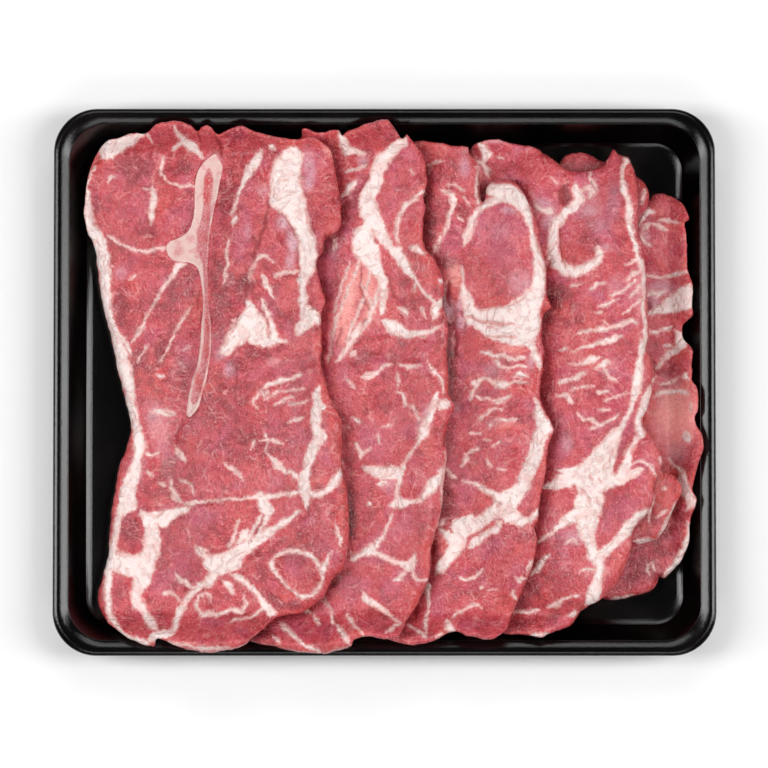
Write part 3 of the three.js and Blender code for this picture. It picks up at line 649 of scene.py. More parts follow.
def blendSides(sides, u, v):
    # left and right blended by u, plus top and bottom blended by v, less the four corners' own blend
    top, bottom = atShare(sides["top"], u)[None], atShare(sides["bottom"], u)[None]
    left, right = atShare(sides["left"], v)[:, None], atShare(sides["right"], v)[:, None]
    u, v = u[None, :, None], v[:, None, None]
    corners = (top[:, :1] * (1 - u) + top[:, -1:] * u) * (1 - v)
    corners = corners + (bottom[:, :1] * (1 - u) + bottom[:, -1:] * u) * v
    return top * (1 - v) + bottom * v + left * (1 - u) + right * u - corners


def closedOutline(sides, count):
    # the four sides joined end to end, clockwise
    share = np.linspace(0, 1, count)
    ring = [atShare(sides[s], share)[:-1] for s in ("top", "right")]
    ring += [atShare(sides[s], share)[::-1][:-1] for s in ("bottom", "left")]
    return np.vstack(ring)


def distanceInside(outline, x, y):
    # distance to the nearest edge of a closed outline, positive inside it by the even-odd rule
    nearest = np.full(x.shape, np.inf)
    inside = np.zeros(x.shape, bool)
    for (ax, ay), (bx, by) in zip(outline, np.roll(outline, -1, axis=0)):
        ex, ey = bx - ax, by - ay
        t = np.clip(((x - ax) * ex + (y - ay) * ey) / (ex * ex + ey * ey), 0, 1)
        nearest = np.minimum(nearest, np.hypot(x - ax - ex * t, y - ay - ey * t))
        if ey:
            inside ^= ((ay > y) != (by > y)) & (x < ax + ex * (y - ay) / ey)
    return np.where(inside, nearest, -nearest)


def chainDepth(p, x, y, tapers):
    # distance in from the edge of one seam, negative outside; its width runs evenly from point to point,
    # and at an end that stands free it closes in a half ellipse of the given length
    steps = np.hypot(*np.diff(p[:, :2], axis=0).T)
    reach = np.concatenate([[0], np.cumsum(steps)])
    thin = surface["hairline"]
    widths = p[:, 2] * (thin + (1 - thin) * smoothStep(p[:, 2] / surface["fullWidth"]))
    depth = np.full(x.shape, -surface["farOff"])
    for k in range(len(steps)):
        (ax, ay), (bx, by), aw, bw = p[k, :2], p[k + 1, :2], widths[k], widths[k + 1]
        ex, ey = bx - ax, by - ay
        t = np.clip(((x - ax) * ex + (y - ay) * ey) / steps[k] ** 2, 0, 1)
        half = 0.5 * (aw + (bw - aw) * t)
        along = reach[k] + t * steps[k]
        for taper, gone in ((tapers[0], along), (tapers[1], reach[-1] - along)):
            if taper:
                closing = 1 - (1 - np.clip(gone / taper, 0, 1)) ** 2
                half = half * np.sqrt(np.clip(closing, surface["bluntEnd"], 1))
        depth = np.maximum(depth, half - np.hypot(x - ax - ex * t, y - ay - ey * t))
    return depth


def seamDepth(chains, x, y):
    # the deepest of all the seams at each point; an end that touches another seam isn't tapered
    chains = [toBed(chain) for chain in chains]
    ends = np.array([chain[k, :2] for chain in chains for k in (0, -1)])
    touch = np.full(len(ends), -surface["farOff"])
    for k, chain in enumerate(chains):
        found = chainDepth(chain, ends[:, 0], ends[:, 1], (0, 0))
        found[2 * k:2 * k + 2] = -surface["farOff"]
        touch = np.maximum(touch, found)
    depth = np.full(x.shape, -surface["farOff"])
    for k, chain in enumerate(chains):
        length = np.hypot(*np.diff(chain[:, :2], axis=0).T).sum()
        longest = surface["taperInLength"] * length
        taper = [min(surface["taperInWidths"] * chain[end, 2], longest) for end in (0, -1)]
        taper = [0 if touch[2 * k + end] > -surface["touching"] else taper[end] for end in (0, 1)]
        depth = np.maximum(depth, chainDepth(chain, x, y, taper))
    return depth


def inFromLip(x, y):
    # distance in to the tray's outer edge, a rectangle with round corners
    qx = np.abs(x) - tray["length"] / 2 + tray["lipRadius"]
    qy = np.abs(y) - tray["width"] / 2 + tray["lipRadius"]
    outside = np.hypot(np.maximum(qx, 0), np.maximum(qy, 0))
    return tray["lipRadius"] - outside - np.minimum(np.maximum(qx, qy), 0)


def undersideHeight(beneath, x, y):
    # the floor, plus the walls' rise, plus a layer for every slice beneath, each eased in over the drape
    wall = smoothStep(1 - (inFromLip(x, y) - slab["wallDrapeStart"]) / slab["wallDrapeWidth"])
    layers = 0
    for outline in beneath:
        inside = distanceInside(outline, x, y) + slab["drapeMargin"]
        layers = layers + smoothStep(1 + inside / slab["drapeWidth"])
    rest = tray["floor"] + slab["restGap"]
    return rest + wall * (tray["depth"] - tray["floor"]) + layers * slab["layerRise"]


def muscleRelief(x, y, index):
    # two crossed sine waves, each bent by the other direction
    m = muscles
    long = x / m["across"] + index * m["acrossStep"] + m["acrossBend"] * np.sin(y / m["bendAlong"] + index)
    cross = y / m["along"] + index * m["alongStep"] + m["alongBend"] * np.sin(x / m["bendAcross"])
    long, cross = np.sin(long), np.sin(cross)
    return m["height"] * 0.5 * (long + cross)


def edgeFullness(inside):
    # a quarter circle over the rounded edge: 0 on the outline, 1 on the flat of the slice
    short = 1 - np.clip(inside / slab["edgeRounding"], 0, 1)
    return np.sqrt(1 - short * short)


def linesAcross(lines):
    # grid lines from 0 to 1, sparse over the hidden share and close over what shows
    shown = np.linspace(lines["hiddenShare"], 1, lines["shown"] + 1)
    if not lines["hidden"]:
        return shown
    return np.concatenate([np.linspace(0, lines["hiddenShare"], lines["hidden"] + 1)[:-1], shown])


def rimOf(rows, columns):
    # true for the points on a grid's border
    rim = np.ones((rows, columns), bool)
    rim[1:-1, 1:-1] = False
    return rim


def gridFaces(rows, columns):
    # the quads of a grid of numbered points, clockwise on the page so that they face up
    number = np.arange(rows * columns).reshape(rows, columns)
    a, b = number[:-1, :-1], number[:-1, 1:]
    c, d = number[1:, 1:], number[1:, :-1]
    return np.stack([a, d, c, b], axis=-1).reshape(-1, 4)


def undersideFaces(rows, columns, start):
    # coarse faces facing down; those at the rim take in every point of the rim, which the top face shares
    step = undersideStep
    top = np.arange(rows * columns).reshape(rows, columns)
    coarse = np.full((rows, columns), -1)
    inner = coarse[step:-1:step, step:-1:step]
    inner[:] = start + np.arange(inner.size).reshape(inner.shape)
    low = np.where(rimOf(rows, columns), top, coarse)
    faces = []
    for j in range(0, rows - 1, step):
        for i in range(0, columns - 1, step):
            across, down = np.arange(i, i + step), np.arange(j, j + step)
            loop = np.concatenate([
                low[j, across], low[down, i + step], low[j + step, across[::-1] + 1], low[down[::-1] + 1, i],
            ])
            faces.append(loop[loop >= 0].tolist())
    return faces, inner.size


def makeMesh(name, points, faces, fields=None):
    mesh = bpy.data.meshes.new(name)
    mesh.from_pydata((np.asarray(points) * mm).tolist(), [], faces)
    for field, values in (fields or {}).items():
        mesh.attributes.new(field, "FLOAT", "POINT").data.foreach_set("value", np.asarray(values, np.float32))
    mesh.validate()
    mesh.update()
    mesh.polygons.foreach_set("use_smooth", np.ones(len(mesh.polygons), bool))
    piece = bpy.data.objects.new(name, mesh)
    bpy.context.scene.collection.objects.link(piece)
    return piece


def dress(piece, node, material):
    piece.data.materials.append(material)
    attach(piece, "root")
    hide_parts(node)
    return piece


# Materials

def srgb(red, green, blue):
    # the screen's 0 to 255 to the linear light that a shader takes
    share = np.array([red, green, blue]) / 255
    linear = np.where(share <= 0.04045, share / 12.92, ((share + 0.055) / 1.055) ** 2.4)
    return (*linear.tolist(), 1)


def newMaterial(name, finish):
    material = bpy.data.materials.new(name)
    material.use_nodes = True
    shader = material.node_tree.nodes["Principled BSDF"]
    for socket, value in finish.items():
        shader.inputs[socket].default_value = value
    return material, material.node_tree, shader


def addNode(tree, kind, inputs, **settings):
    node = tree.nodes.new("ShaderNode" + kind)
    for key, value in settings.items():
        setattr(node, key, value)
    for key, value in inputs.items():
        if isinstance(value, bpy.types.NodeSocket):
            tree.links.new(value, node.inputs[key])
        else:
            node.inputs[key].default_value = value
    return node


def noise(tree, place, size, detail=2, roughness=0.5, distortion=0.0):
    # noise whose features are about size millimetres across
    inputs = {"Vector": place, "Scale": perMetre / size, "Detail": detail, "Roughness": roughness}
    inputs["Distortion"] = distortion
    return addNode(tree, "TexNoise", inputs).outputs["Fac"]


def streaks(tree, place, across, along, turn, detail, roughness=0.6, distortion=0.35):
    # noise drawn out along one direction, with its sizes in millimetres and its turn in degrees
    size = (across / perMetre, along / perMetre, across / perMetre)
    inputs = {"Vector": place, "Rotation": (0, 0, math.radians(turn)), "Scale": size}
    drawn = addNode(tree, "Mapping", inputs, vector_type="TEXTURE").outputs[0]
    inputs = {"Vector": drawn, "Scale": 1.0, "Detail": detail, "Roughness": roughness}
    inputs["Distortion"] = distortion
    return addNode(tree, "TexNoise", inputs).outputs["Fac"]


def bentPlace(tree, straight, place, scale, detail, amount):
    # places moved by noise of that scale, by up to half of amount metres each way
    bend = addNode(tree, "TexNoise", {"Vector": straight, "Scale": scale, "Detail": detail}).outputs["Color"]
    bend = addNode(tree, "VectorMath", {0: bend, 1: (0.5, 0.5, 0.5)}, operation="SUBTRACT").outputs[0]
    bend = addNode(tree, "VectorMath", {0: bend, "Scale": amount}, operation="SCALE").outputs[0]
    return addNode(tree, "VectorMath", {0: place, 1: bend}, operation="ADD").outputs[0]


def cellEdges(tree, place, size):
    # distance to the nearest border of cells that are about size millimetres across
    inputs = {"Vector": place, "Scale": perMetre / size}
    return addNode(tree, "TexVoronoi", inputs, feature="DISTANCE_TO_EDGE").outputs["Distance"]


def mathNode(tree, operation, a, b=0.0, c=0.0):
    return addNode(tree, "Math", {0: a, 1: b, 2: c}, operation=operation).outputs[0]


def times(tree, a, b):
    return mathNode(tree, "MULTIPLY", a, b)


def plusTimes(tree, a, b, c):
    # a plus b times c
    return mathNode(tree, "MULTIPLY_ADD", b, c, a)


def swing(tree, value, noiseValue, amount):
    # a value moved up and down by a noise's distance from its middle, times the amount
    return plusTimes(tree, value, mathNode(tree, "SUBTRACT", noiseValue, 0.5), amount)


def ramp(tree, value, low, high, toLow=0.0, toHigh=1.0):
    inputs = {"Value": value, "From Min": low, "From Max": high, "To Min": toLow, "To Max": toHigh}
    return addNode(tree, "MapRange", inputs, interpolation_type="SMOOTHSTEP").outputs["Result"]


def blendColour(tree, share, under, over):
    node = tree.nodes.new("ShaderNodeMix")
    node.data_type = "RGBA"
    for socket, value in ((node.inputs[0], share), (node.inputs[6], under), (node.inputs[7], over)):
        if isinstance(value, bpy.types.NodeSocket):
            tree.links.new(value, socket)
        else:
            socket.default_value = value
    return node.outputs[2]


def layer(tree, value, limits, under, over):
    # one colour laid over another as a value passes between its limits
    return blendColour(tree, ramp(tree, value, *limits), under, over)


def field(tree, name):
    return addNode(tree, "Attribute", {}, attribute_type="GEOMETRY", attribute_name=name).outputs["Fac"]


def finishShader(tree, shader, colour, roughness, height, look):
    tree.links.new(colour, shader.inputs["Base Color"])
    tree.links.new(roughness, shader.inputs["Roughness"])
    inputs = {"Height": height, "Distance": look["bumpDepth"], "Strength": look["bumpStrength"]}
    tree.links.new(addNode(tree, "Bump", inputs).outputs["Normal"], shader.inputs["Normal"])


meatLook = {
    "lean": srgb(191, 59, 71),
    "leanDark": srgb(137, 36, 45),
    # the deepest red, reached mostly where painted shade takes the tone far down
    "leanDeepShade": srgb(80, 18, 24),
    "leanPale": srgb(220, 110, 119),
    "leanMauve": srgb(184, 73, 103),
    "leanWarm": srgb(205, 68, 64),
    "fleck": srgb(220, 119, 125),
    "thread": srgb(238, 168, 165),
    "fat": srgb(248, 228, 224),
    "fatPink": srgb(236, 186, 180),
    "veilCool": srgb(214, 178, 190),
    "veilWarm": srgb(250, 172, 165),
    # painted shade for the creases: a dark red over lean, a dull pink over fat
    "shadedCrease": srgb(138, 28, 36),
    "creaseShadeInFat": srgb(214, 140, 134),
    "cell": 7.5,  # millimetres across the web's cells
    "lobe": 4.6,  # and across the lobes of the fat
    "bend": {"scale": 38, "detail": 1, "amount": 0.02},  # how the fibres' direction wanders
    "knot": {"scale": 260, "detail": 3, "amount": 0.003},  # and how crooked the web and the lobes are
    "warmthInHue": 0.2,
    "patchInTone": 0.55,
    "broadInTone": 0.45,
    "toneStep": 0.15,  # how far one unit of stated paleness moves the tone
    "edgeSoftness": 0.32,  # millimetres over which a seam's edge turns from lean to fat
    "edgeShift": 0.06,
    "edgeFray": 2.3,  # millimetres by which fine noise moves a seam's edge
    "edgeBays": 1.9,  # and coarser noise
    "fatSwing": 4.5,
    "lobeShade": 0.5,
    "creaseFray": 0.9,
    "grainHeight": 0.7,  # shares of the bump
    "pitHeight": 0.5,
    "lumpHeight": 1.6,
    "foldHeight": -0.9,
    "bumpDepth": 0.0007,
    "bumpStrength": 0.8,
}

# The meat's noises, with their sizes in millimetres.
meatNoises = {
    "broad": {"size": 18, "detail": 3},
    "area": {"size": 13, "distortion": 0.6},
    "patch": {"size": 4.5, "detail": 4, "roughness": 0.6},
    "grain": {"across": 0.9, "along": 1.7, "turn": 12, "detail": 4},
    "cross": {"across": 0.85, "along": 1.6, "turn": 68, "detail": 4},
    "pits": {"size": 1.6, "detail": 4, "roughness": 0.7},
    "fine": {"size": 0.6, "roughness": 0.6},
    "speck": {"size": 0.9, "detail": 3, "roughness": 0.65},
    "fray": {"size": 1.1, "detail": 4, "roughness": 0.7},
    "bays": {"size": 3.4, "detail": 3, "roughness": 0.6},
    "threads": {"across": 1.4, "along": 5, "turn": 25, "detail": 3},
    "crossThreads": {"across": 1.3, "along": 4.5, "turn": 100, "detail": 3},
    "threadArea": {"size": 12},
    "webArea": {"size": 6, "detail": 4},
    "blush": {"size": 8, "detail": 3, "distortion": 0.6},
    "fatGrain": {"size": 2.4, "detail": 4, "roughness": 0.65},
}

# Where on its noise each layer begins and is full, then its strength at both ends if that isn't 0 and 1.
meatLimits = {
    "mauve": (0.5, 0.28, 0, 0.85),
    "warm": (0.54, 0.78, 0, 0.85),
    "pale": (0.5, 0.82, 0, 0.9),
    "dark": (0.52, 0.26, 0, 0.95),
    "deep": (0.3, 0.08, 0, 0.9),
    "pits": (0.5, 0.34, 0, 0.7),
    "pitsInPale": (0.62, 0.8, 1.0, 0.15),
    "flecksInPale": (0.32, 0.62, 0.2, 0.8),
    "grain": (0.5, 0.66),
    "cross": (0.52, 0.67),
    "fine": (0.54, 0.68, 0, 0.5),
    "threads": (0.6, 0.7),
    "crossThreads": (0.61, 0.71),
    "threadArea": (0.44, 0.64, 0.05, 0.6),
    "web": (0.07, 0.0),
    "webArea": (0.48, 0.64, 0, 0.4),
    "speck": (0.59, 0.7, 0, 0.65),
    "veilWarmth": (-0.2, 0.9),
    "veilGaps": (0.36, 0.58, 0.4, 1.0),
    "fatBorder": (-1.0, 0.0, 0, 0.5),
    "fatDepth": (-0.4, 1.2),
    "blush": (0.54, 0.7, 0, 0.6),
    "fatGrain": (0.53, 0.68, 0, 0.5),
    "lobes": (0.22, 0.0),
    "lobeArea": (0.44, 0.6),
    "shadedCrease": (-0.8, 0.3, 0, 0.8),
    "roughness": (0.36, 0.66, 0.13, 0.38),
}


def makeMeat():
    look, limits = meatLook, meatLimits
    finish = {
        "Subsurface Weight": 0.08,
        "Subsurface Radius": (1.0, 0.35, 0.25),
        "Subsurface Scale": 0.0012,
        "Specular IOR Level": 0.5,
    }
    material, tree, shader = newMaterial("porkMeat", finish)
    straight = addNode(tree, "TexCoord", {}).outputs["Object"]
    place = bentPlace(tree, straight, straight, **look["bend"])
    knotted = bentPlace(tree, straight, place, **look["knot"])
    drawn = ("grain", "cross", "threads", "crossThreads")
    onBent = ("pits", "bays", "blush", "fatGrain")
    noises = {}
    for name, shape in meatNoises.items():
        kind = streaks if name in drawn else noise
        noises[name] = kind(tree, place if name in drawn + onBent else straight, **shape)
    fat, toneWithShade, warmth = field(tree, "fat"), field(tree, "toneWithShade"), field(tree, "warmth")
    veilAndSheen, shadedCrease = field(tree, "veilAndSheen"), field(tree, "shadedCrease")

    def reach(name):
        return ramp(tree, noises[name], *limits[name])

    # lean: mauve and warm areas, then paler and darker patches; the tone field carries painted shade, painted
    # sheen and painted light into these layers too, and the deepest red is reached mostly in painted shade
    hue = plusTimes(tree, noises["area"], warmth, look["warmthInHue"])
    colour = layer(tree, hue, limits["mauve"], look["lean"], look["leanMauve"])
    colour = layer(tree, hue, limits["warm"], colour, look["leanWarm"])
    level = times(tree, noises["broad"], look["broadInTone"])
    level = plusTimes(tree, level, noises["patch"], look["patchInTone"])
    level = plusTimes(tree, level, toneWithShade, look["toneStep"])
    colour = layer(tree, level, limits["pale"], colour, look["leanPale"])
    colour = layer(tree, level, limits["dark"], colour, look["leanDark"])
    colour = layer(tree, level, limits["deep"], colour, look["leanDeepShade"])

    # grain: pale flecks drawn out along the fibres, dark pits between, fewer flecks where the lean is dark
    pitted = times(tree, reach("pits"), ramp(tree, level, *limits["pitsInPale"]))
    colour = blendColour(tree, pitted, colour, look["leanDark"])
    flecks = mathNode(tree, "MAXIMUM", reach("grain"), reach("cross"))
    flecks = times(tree, flecks, ramp(tree, level, *limits["flecksInPale"]))
    colour = blendColour(tree, flecks, colour, look["fleck"])
    colour = blendColour(tree, reach("fine"), colour, look["fleck"])

    # thin threads of marbling here and there, and in some muscles a web of finer ones along bent cells
    threads = mathNode(tree, "MAXIMUM", reach("threads"), reach("crossThreads"))
    colour = blendColour(tree, times(tree, threads, reach("threadArea")), colour, look["thread"])
    web = ramp(tree, cellEdges(tree, knotted, look["cell"]), *limits["web"])
    colour = blendColour(tree, times(tree, web, reach("webArea")), colour, look["thread"])
    colour = blendColour(tree, reach("speck"), colour, look["thread"])

    # silver skin, cooler or warmer, with the grain showing through; in a few places this pale cover is a
    # painted highlight, and on slice 6 it is partly painted light
    skin = layer(tree, warmth, limits["veilWarmth"], look["veilCool"], look["veilWarm"])
    cover = times(tree, veilAndSheen, ramp(tree, noises["cross"], *limits["veilGaps"]))
    colour = blendColour(tree, cover, colour, skin)

    # fat: its frayed edge, then a pink blush, grain and lobes in it
    ragged = swing(tree, fat, noises["fray"], look["edgeFray"])
    ragged = swing(tree, ragged, noises["bays"], look["edgeBays"])
    ragged = mathNode(tree, "ADD", ragged, look["edgeShift"])
    colour = layer(tree, ragged, limits["fatBorder"], colour, look["fatPink"])
    deep = swing(tree, fat, noises["patch"], look["fatSwing"])
    fatColour = layer(tree, deep, limits["fatDepth"], look["fatPink"], look["fat"])
    fatColour = blendColour(tree, reach("blush"), fatColour, look["fatPink"])
    fatColour = blendColour(tree, reach("fatGrain"), fatColour, look["fatPink"])
    folds = ramp(tree, cellEdges(tree, knotted, look["lobe"]), *limits["lobes"])
    folds = times(tree, folds, ramp(tree, noises["bays"], *limits["lobeArea"]))
    fatColour = blendColour(tree, times(tree, folds, look["lobeShade"]), fatColour, look["fatPink"])
    mask = ramp(tree, ragged, -look["edgeSoftness"], look["edgeSoftness"])
    colour = blendColour(tree, mask, colour, fatColour)

    # creases: painted shade, a dark red laid along each crease over lean and a dull pink over fat
    creaseShadeEdge = swing(tree, shadedCrease, noises["fray"], look["creaseFray"])
    creaseShadeColour = blendColour(tree, mask, look["shadedCrease"], look["creaseShadeInFat"])
    colour = layer(tree, creaseShadeEdge, limits["shadedCrease"], colour, creaseShadeColour)

    height = times(tree, noises["pits"], look["pitHeight"])
    height = plusTimes(tree, height, noises["grain"], look["grainHeight"])
    lumps = mathNode(tree, "SUBTRACT", noises["fatGrain"], 0.5)
    height = plusTimes(tree, height, times(tree, lumps, mask), look["lumpHeight"])
    height = plusTimes(tree, height, times(tree, folds, mask), look["foldHeight"])
    roughness = ramp(tree, noises["patch"], *limits["roughness"])
    finishShader(tree, shader, colour, roughness, height, look)
    return material


boneLook = {
    "rim": srgb(221, 183, 177),
    "outer": srgb(231, 205, 197),
    "middle": srgb(203, 112, 118),
    "pore": srgb(180, 74, 86),
    "marrow": srgb(192, 48, 54),
    "flesh": srgb(200, 92, 98),
    "spongy": {"size": 1.1, "detail": 4, "roughness": 0.7},
    "fine": {"size": 0.5, "roughness": 0.6},
    "patch": {"size": 4, "detail": 3},
    "channelSwing": 2.0,
    "edgeSwing": 2.2,
    "edgeFray": 1.0,
    "bumpDepth": 0.0004,
    "bumpStrength": 0.6,
}

boneLimits = {
    "rimMottle": (0.45, 0.7, 0, 0.5),
    "rimBlush": (0.5, 0.36, 0, 0.5),
    "paleBorder": (0.9, 0.3, 0, 0.7),
    "middle": (-0.5, 0.4, 0, 0.9),
    "channel": (-0.4, 0.4),
    "pores": (0.52, 0.4, 0, 0.95),
    "marrow": (0.68, 0.45, 0.5, 1.0),
    "fine": (0.54, 0.68, 0, 0.7),
    "flesh": (0.5, 0.0, 0, 0.7),
    "roughness": (0.3, 0.7, 0.3, 0.5),
}


def makeBoneMaterial():
    look, limits = boneLook, boneLimits
    finish = {"Specular IOR Level": 0.45, "Subsurface Weight": 0.1, "Subsurface Scale": 0.001}
    material, tree, shader = newMaterial("sawnBone", finish)
    place = addNode(tree, "TexCoord", {}).outputs["Object"]
    spongy, fine, patch = (noise(tree, place, **look[name]) for name in ("spongy", "fine", "patch"))
    rim, channel, marrow = field(tree, "rim"), field(tree, "channel"), field(tree, "marrow")
    colour = layer(tree, spongy, limits["rimMottle"], look["rim"], look["outer"])
    colour = layer(tree, patch, limits["rimBlush"], colour, look["middle"])
    colour = layer(tree, rim, limits["paleBorder"], colour, look["outer"])
    middle = swing(tree, channel, spongy, look["channelSwing"])
    colour = layer(tree, middle, limits["middle"], colour, look["middle"])
    pores = times(tree, ramp(tree, channel, *limits["channel"]), ramp(tree, spongy, *limits["pores"]))
    colour = blendColour(tree, pores, colour, look["pore"])
    red = times(tree, marrow, ramp(tree, spongy, *limits["marrow"]))
    colour = blendColour(tree, red, colour, look["marrow"])
    colour = layer(tree, fine, limits["fine"], colour, look["outer"])
    edge = swing(tree, rim, patch, look["edgeSwing"])
    edge = swing(tree, edge, spongy, look["edgeFray"])
    colour = layer(tree, edge, limits["flesh"], colour, look["flesh"])
    roughness = ramp(tree, spongy, *limits["roughness"])
    finishShader(tree, shader, colour, roughness, spongy, look)
    return material


foamLook = {
    "skin": srgb(3, 2, 2),
    "worn": srgb(9, 5, 5),
    "specular": 0.46,
    "broad": {"size": 30, "detail": 3},
    "pebble": {"size": 0.85, "detail": 3, "roughness": 0.6},
    "wear": (0.4, 0.7),
    "roughness": (0.3, 0.7, 0.15, 0.19),
    "bumpDepth": 0.0003,
    "bumpStrength": 0.24,
}


def makeFoam():
    look = foamLook
    material, tree, shader = newMaterial("blackFoam", {"Specular IOR Level": look["specular"]})
    place = addNode(tree, "TexCoord", {}).outputs["Object"]
    broad, pebble = noise(tree, place, **look["broad"]), noise(tree, place, **look["pebble"])
    colour = layer(tree, broad, look["wear"], look["skin"], look["worn"])
    finishShader(tree, shader, colour, ramp(tree, broad, *look["roughness"]), pebble, look)
    return material


meatMaterial = makeMeat()
boneMaterial = makeBoneMaterial()
foamMaterial = makeFoam()
print("materials ready")


# Tray

trayShape = {
    "cornerLines": 28,
    "straightLines": 24,
    "sectionLines": 72,
    "floorRings": (0.12, 0.45, 0.8),  # shares of the floor's width, from the middle out
}


def traySection():
    # the section as inset from the outer edge and height: foot, wall, over the lip, down to the floor's top
    top, foot, lip, floor = tray["depth"], tray["footInset"], tray["lipWidth"], tray["floor"]
    knots = [
        (foot - 1, 0), (foot - 2.6, 0.5), (foot - 3.6, 1.8), (4.6, top - 5.4), (3.4, top - 4.2),
        (0.9, top - 3.4), (0.15, top - 2.6), (0, top - 1.7), (0.35, top - 0.8), (1.3, top - 0.15),
        (2.4, top), (lip - 1.2, top - 0.25), (lip + 0.2, top - 0.8), (lip + 1.5, top - 1.6),
        (lip + 2.3, top - 2.9), (foot - 1.8, floor + 2.6), (foot - 0.4, floor + 0.8), (foot + 2, floor),
    ]
    return np.array(knots, float)


def roundedRing(inset):
    # a rectangle with round corners, drawn in by the inset; its corners tighten towards the foot
    radius = tray["lipRadius"] - (tray["lipRadius"] - tray["footRadius"]) * min(inset / tray["footInset"], 1)
    cx = tray["length"] / 2 - inset - radius
    cy = tray["width"] / 2 - inset - radius
    turn = np.linspace(0, math.pi / 2, trayShape["cornerLines"] + 1)
    ring = []
    for quarter, (sx, sy) in enumerate([(1, 1), (-1, 1), (-1, -1), (1, -1)]):
        angle = turn + quarter * math.pi / 2
        corner = np.column_stack([sx * cx + radius * np.cos(angle), sy * cy + radius * np.sin(angle)])
        ring.append(corner)
    joined = []
    for corner, following in zip(ring, ring[1:] + ring[:1]):
        share = np.linspace(0, 1, trayShape["straightLines"] + 1)[1:-1, None]
        joined += [corner, corner[-1] * (1 - share) + following[0] * share]
    return np.vstack(joined)


def makeTray():
    # rings of the section's points, closed under the floor and over it by shrinking rings around the middle
    section = traySection()
    fineSection = curveThrough(section, trayShape["sectionLines"])
    fineSection[:, 0] = np.maximum(fineSection[:, 0], 0)
    fineSection[:, 1] = np.clip(fineSection[:, 1], 0, tray["depth"])
    rings = [np.column_stack([roundedRing(i), np.full(len(roundedRing(i)), h)]) for i, h in fineSection]
    shares = trayShape["floorRings"]
    below = [rings[0] * [s, s, 1] for s in shares]
    above = [rings[-1] * [s, s, 1] for s in shares[::-1]]
    rings = below + rings + above
    count = len(rings[0])
    points = np.vstack(rings + [[[0, 0, 0]], [[0, 0, tray["floor"]]]])
    k = np.arange(count)
    after = (k + 1) % count
    faces = []
    for r in range(len(rings) - 1):
        low, high = r * count, (r + 1) * count
        faces += np.column_stack([low + k, low + after, high + after, high + k]).tolist()
    foot, floor = len(points) - 2, len(points) - 1
    last = (len(rings) - 1) * count
    faces += np.column_stack([np.full(count, foot), after, k]).tolist()
    faces += np.column_stack([np.full(count, floor), last + k, last + after]).tolist()
    return makeMesh("foam_tray", points, faces)


dress(makeTray(), "tray", foamMaterial)
print("tray made")


# Slices

# Lengths in millimetres.
surface = {
    "swells": [(11, 0.26), (4.6, 0.14), (1.9, 0.05)],  # size of the swelling and its height
    "fatRise": 0.26,  # how far fat stands proud, from fatFoot outside its edge over fatSlope
    "fatFoot": 0.4,
    "fatSlope": 1.6,
    "grooveDepth": 0.06,
    "grooveWidth": 0.5,
    "groovePlace": 0.2,
    "creaseDepth": 0.7,
    "creaseFoot": 1.6,
    "creaseSlope": 2.2,
    "settle": 0.4,  # how far below the plain slab the relief starts
    "ceilingBend": 0.8,  # over which it bends to stay under the pack's top
    "warp": [(3.4, 0.62), (1.4, 0.38)],  # size of the seams' wandering and how far they wander
    "boneSlot": 2.6,
    "boneGap": 0.35,
    "slotSlope": 0.8,
    "underBone": 0.7,
    "shadeReach": 2.7,  # over which painted shade darkens a slice beside the one above it
    "shadeDepth": 0.85,
    "shadeWander": 0.5,
    "shadeSize": 14,
    "edgeWarmth": 1.0,  # how much warmer the meat is just inside its edge, over edgeReach
    "edgeReach": 2.6,
    "leastInside": 0.02,
    "patchFalloff": 1.5,
    "hairline": 0.5,  # share of its stated width that a very thin seam keeps
    "fullWidth": 3.4,  # a seam of this width keeps all of it
    "farOff": 6.0,  # depth given to places far from every seam
    "bluntEnd": 0.02,
    "taperInWidths": 1.6,  # a free end closes over so many of its widths, or this share of its length
    "taperInLength": 0.45,
    "touching": 0.25,
}
